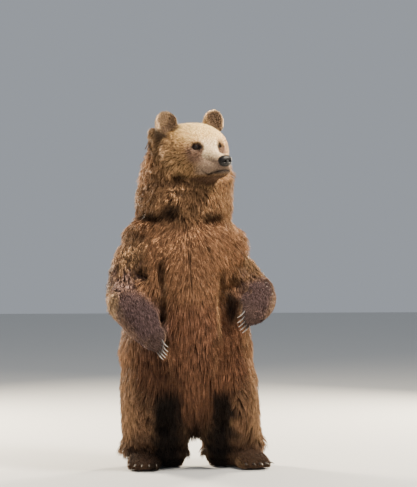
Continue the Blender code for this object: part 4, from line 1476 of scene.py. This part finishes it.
def build_foot_claws(paw, host, side, finish):
    """One foot's claws of the frame, rounded and darker towards their roots."""
    names = claw_names(paw, side)
    whole = bmesh.new()
    for name in names:
        whole.from_mesh(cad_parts[name].data)
    bmesh.ops.remove_doubles(whole, verts=whole.verts, dist=JOIN)
    thing = new_object(f"{paw}_claws_{side}", mesh_from_bmesh("claws", whole))
    rounded = thing.modifiers.new("rounded", "SUBSURF")
    rounded.levels = rounded.render_levels = 2
    mesh = evaluated(thing)
    thing.data = mesh
    thing.modifiers.clear()
    away = np.linalg.norm(places(mesh) - np.array(node_middle(f"{host}_{side}")), axis=1)
    tipward = ramp(away, np.quantile(away, 0.30), np.quantile(away, 0.97))[:, None]
    set_colours(mesh, CLAW_ROOT * (1 - tipward) + CLAW_TIP * tipward)
    mesh.shade_smooth()
    mesh.materials.clear()
    mesh.materials.append(finish)
    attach(thing, "root")
    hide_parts(*names)


# ---- floor, light and camera


def build_floor():
    bpy.ops.mesh.primitive_plane_add(size=FLOOR_SIZE)
    floor = bpy.context.object
    floor.name = "floor"
    finish = bpy.data.materials.new("floor")
    finish.use_nodes = True
    shader = finish.node_tree.nodes["Principled BSDF"]
    shader.inputs["Base Color"].default_value = FLOOR_COLOUR
    shader.inputs["Roughness"].default_value = 0.8
    floor.data.materials.append(finish)


def add_lamp(data, target, azimuth, elevation, distance):
    """Hangs a lamp that looks at its target; azimuth 0 is in front of the bear, in degrees."""
    lamp = bpy.data.objects.new(data.name, data)
    bpy.context.scene.collection.objects.link(lamp)
    a, e = math.radians(azimuth), math.radians(elevation)
    way = Vector((math.sin(a) * math.cos(e), -math.cos(a) * math.cos(e), math.sin(e)))
    lamp.location = target + way * distance
    lamp.rotation_euler = (-way).to_track_quat("-Z", "Y").to_euler()


def build_light():
    """A pale sky, soft lamps round the bear, and a narrow one for the head."""
    world = bpy.data.worlds.new("studio")
    bpy.context.scene.world = world
    world.use_nodes = True
    background = world.node_tree.nodes["Background"]
    background.inputs["Color"].default_value = SKY_COLOUR
    background.inputs["Strength"].default_value = SKY_STRENGTH
    for name, azimuth, elevation, distance, size, power, colour in AREA_LIGHTS:
        data = bpy.data.lights.new(name, "AREA")
        data.shape = "DISK"
        data.size = size
        data.energy = power
        data.color = colour
        add_lamp(data, LIGHT_TARGET, azimuth, elevation, distance)
    data = bpy.data.lights.new("head_light", "SPOT")
    data.energy = HEAD_LIGHT_POWER
    data.color = HEAD_LIGHT_COLOUR
    data.spot_size = HEAD_LIGHT_CONE
    data.spot_blend = 1.0
    data.shadow_soft_size = HEAD_LIGHT_SIZE
    add_lamp(data, HEAD_CENTRE + HEAD_LIGHT_TARGET, *HEAD_LIGHT_WAY)


def build_camera():
    data = bpy.data.cameras.new("camera")
    camera = bpy.data.objects.new("camera", data)
    bpy.context.scene.collection.objects.link(camera)
    c, s = math.cos(CAMERA_AZIMUTH), math.sin(CAMERA_AZIMUTH)
    target = Vector((c, -s, 0)) * CAMERA_ASIDE + Vector((0, 0, CAMERA_HEIGHT)) + SHIFT
    camera.location = target + Vector((-s, -c, 0)) * CAMERA_DISTANCE
    camera.rotation_euler = (target - camera.location).to_track_quat("-Z", "Y").to_euler()
    data.sensor_width = CAMERA_SENSOR
    data.lens = data.sensor_width * CAMERA_DISTANCE / CAMERA_VIEW_HEIGHT
    bpy.context.scene.camera = camera


# ---- the whole

build_hide()
eye_finish = glossy("eye", roughness=0.28, shine=0.35)
for eye_side in (-1, 1):
    build_eye(eye_side, eye_finish)
build_nose(glossy("nose", roughness=0.45, shine=0.28))
claw_finish = glossy("claw", roughness=0.38)
for claw_side in SIDES:
    build_foot_claws("fore", "forepaw", claw_side, claw_finish)
    build_foot_claws("hind", "hindfoot", claw_side, claw_finish)
build_floor()
build_light()
build_camera()
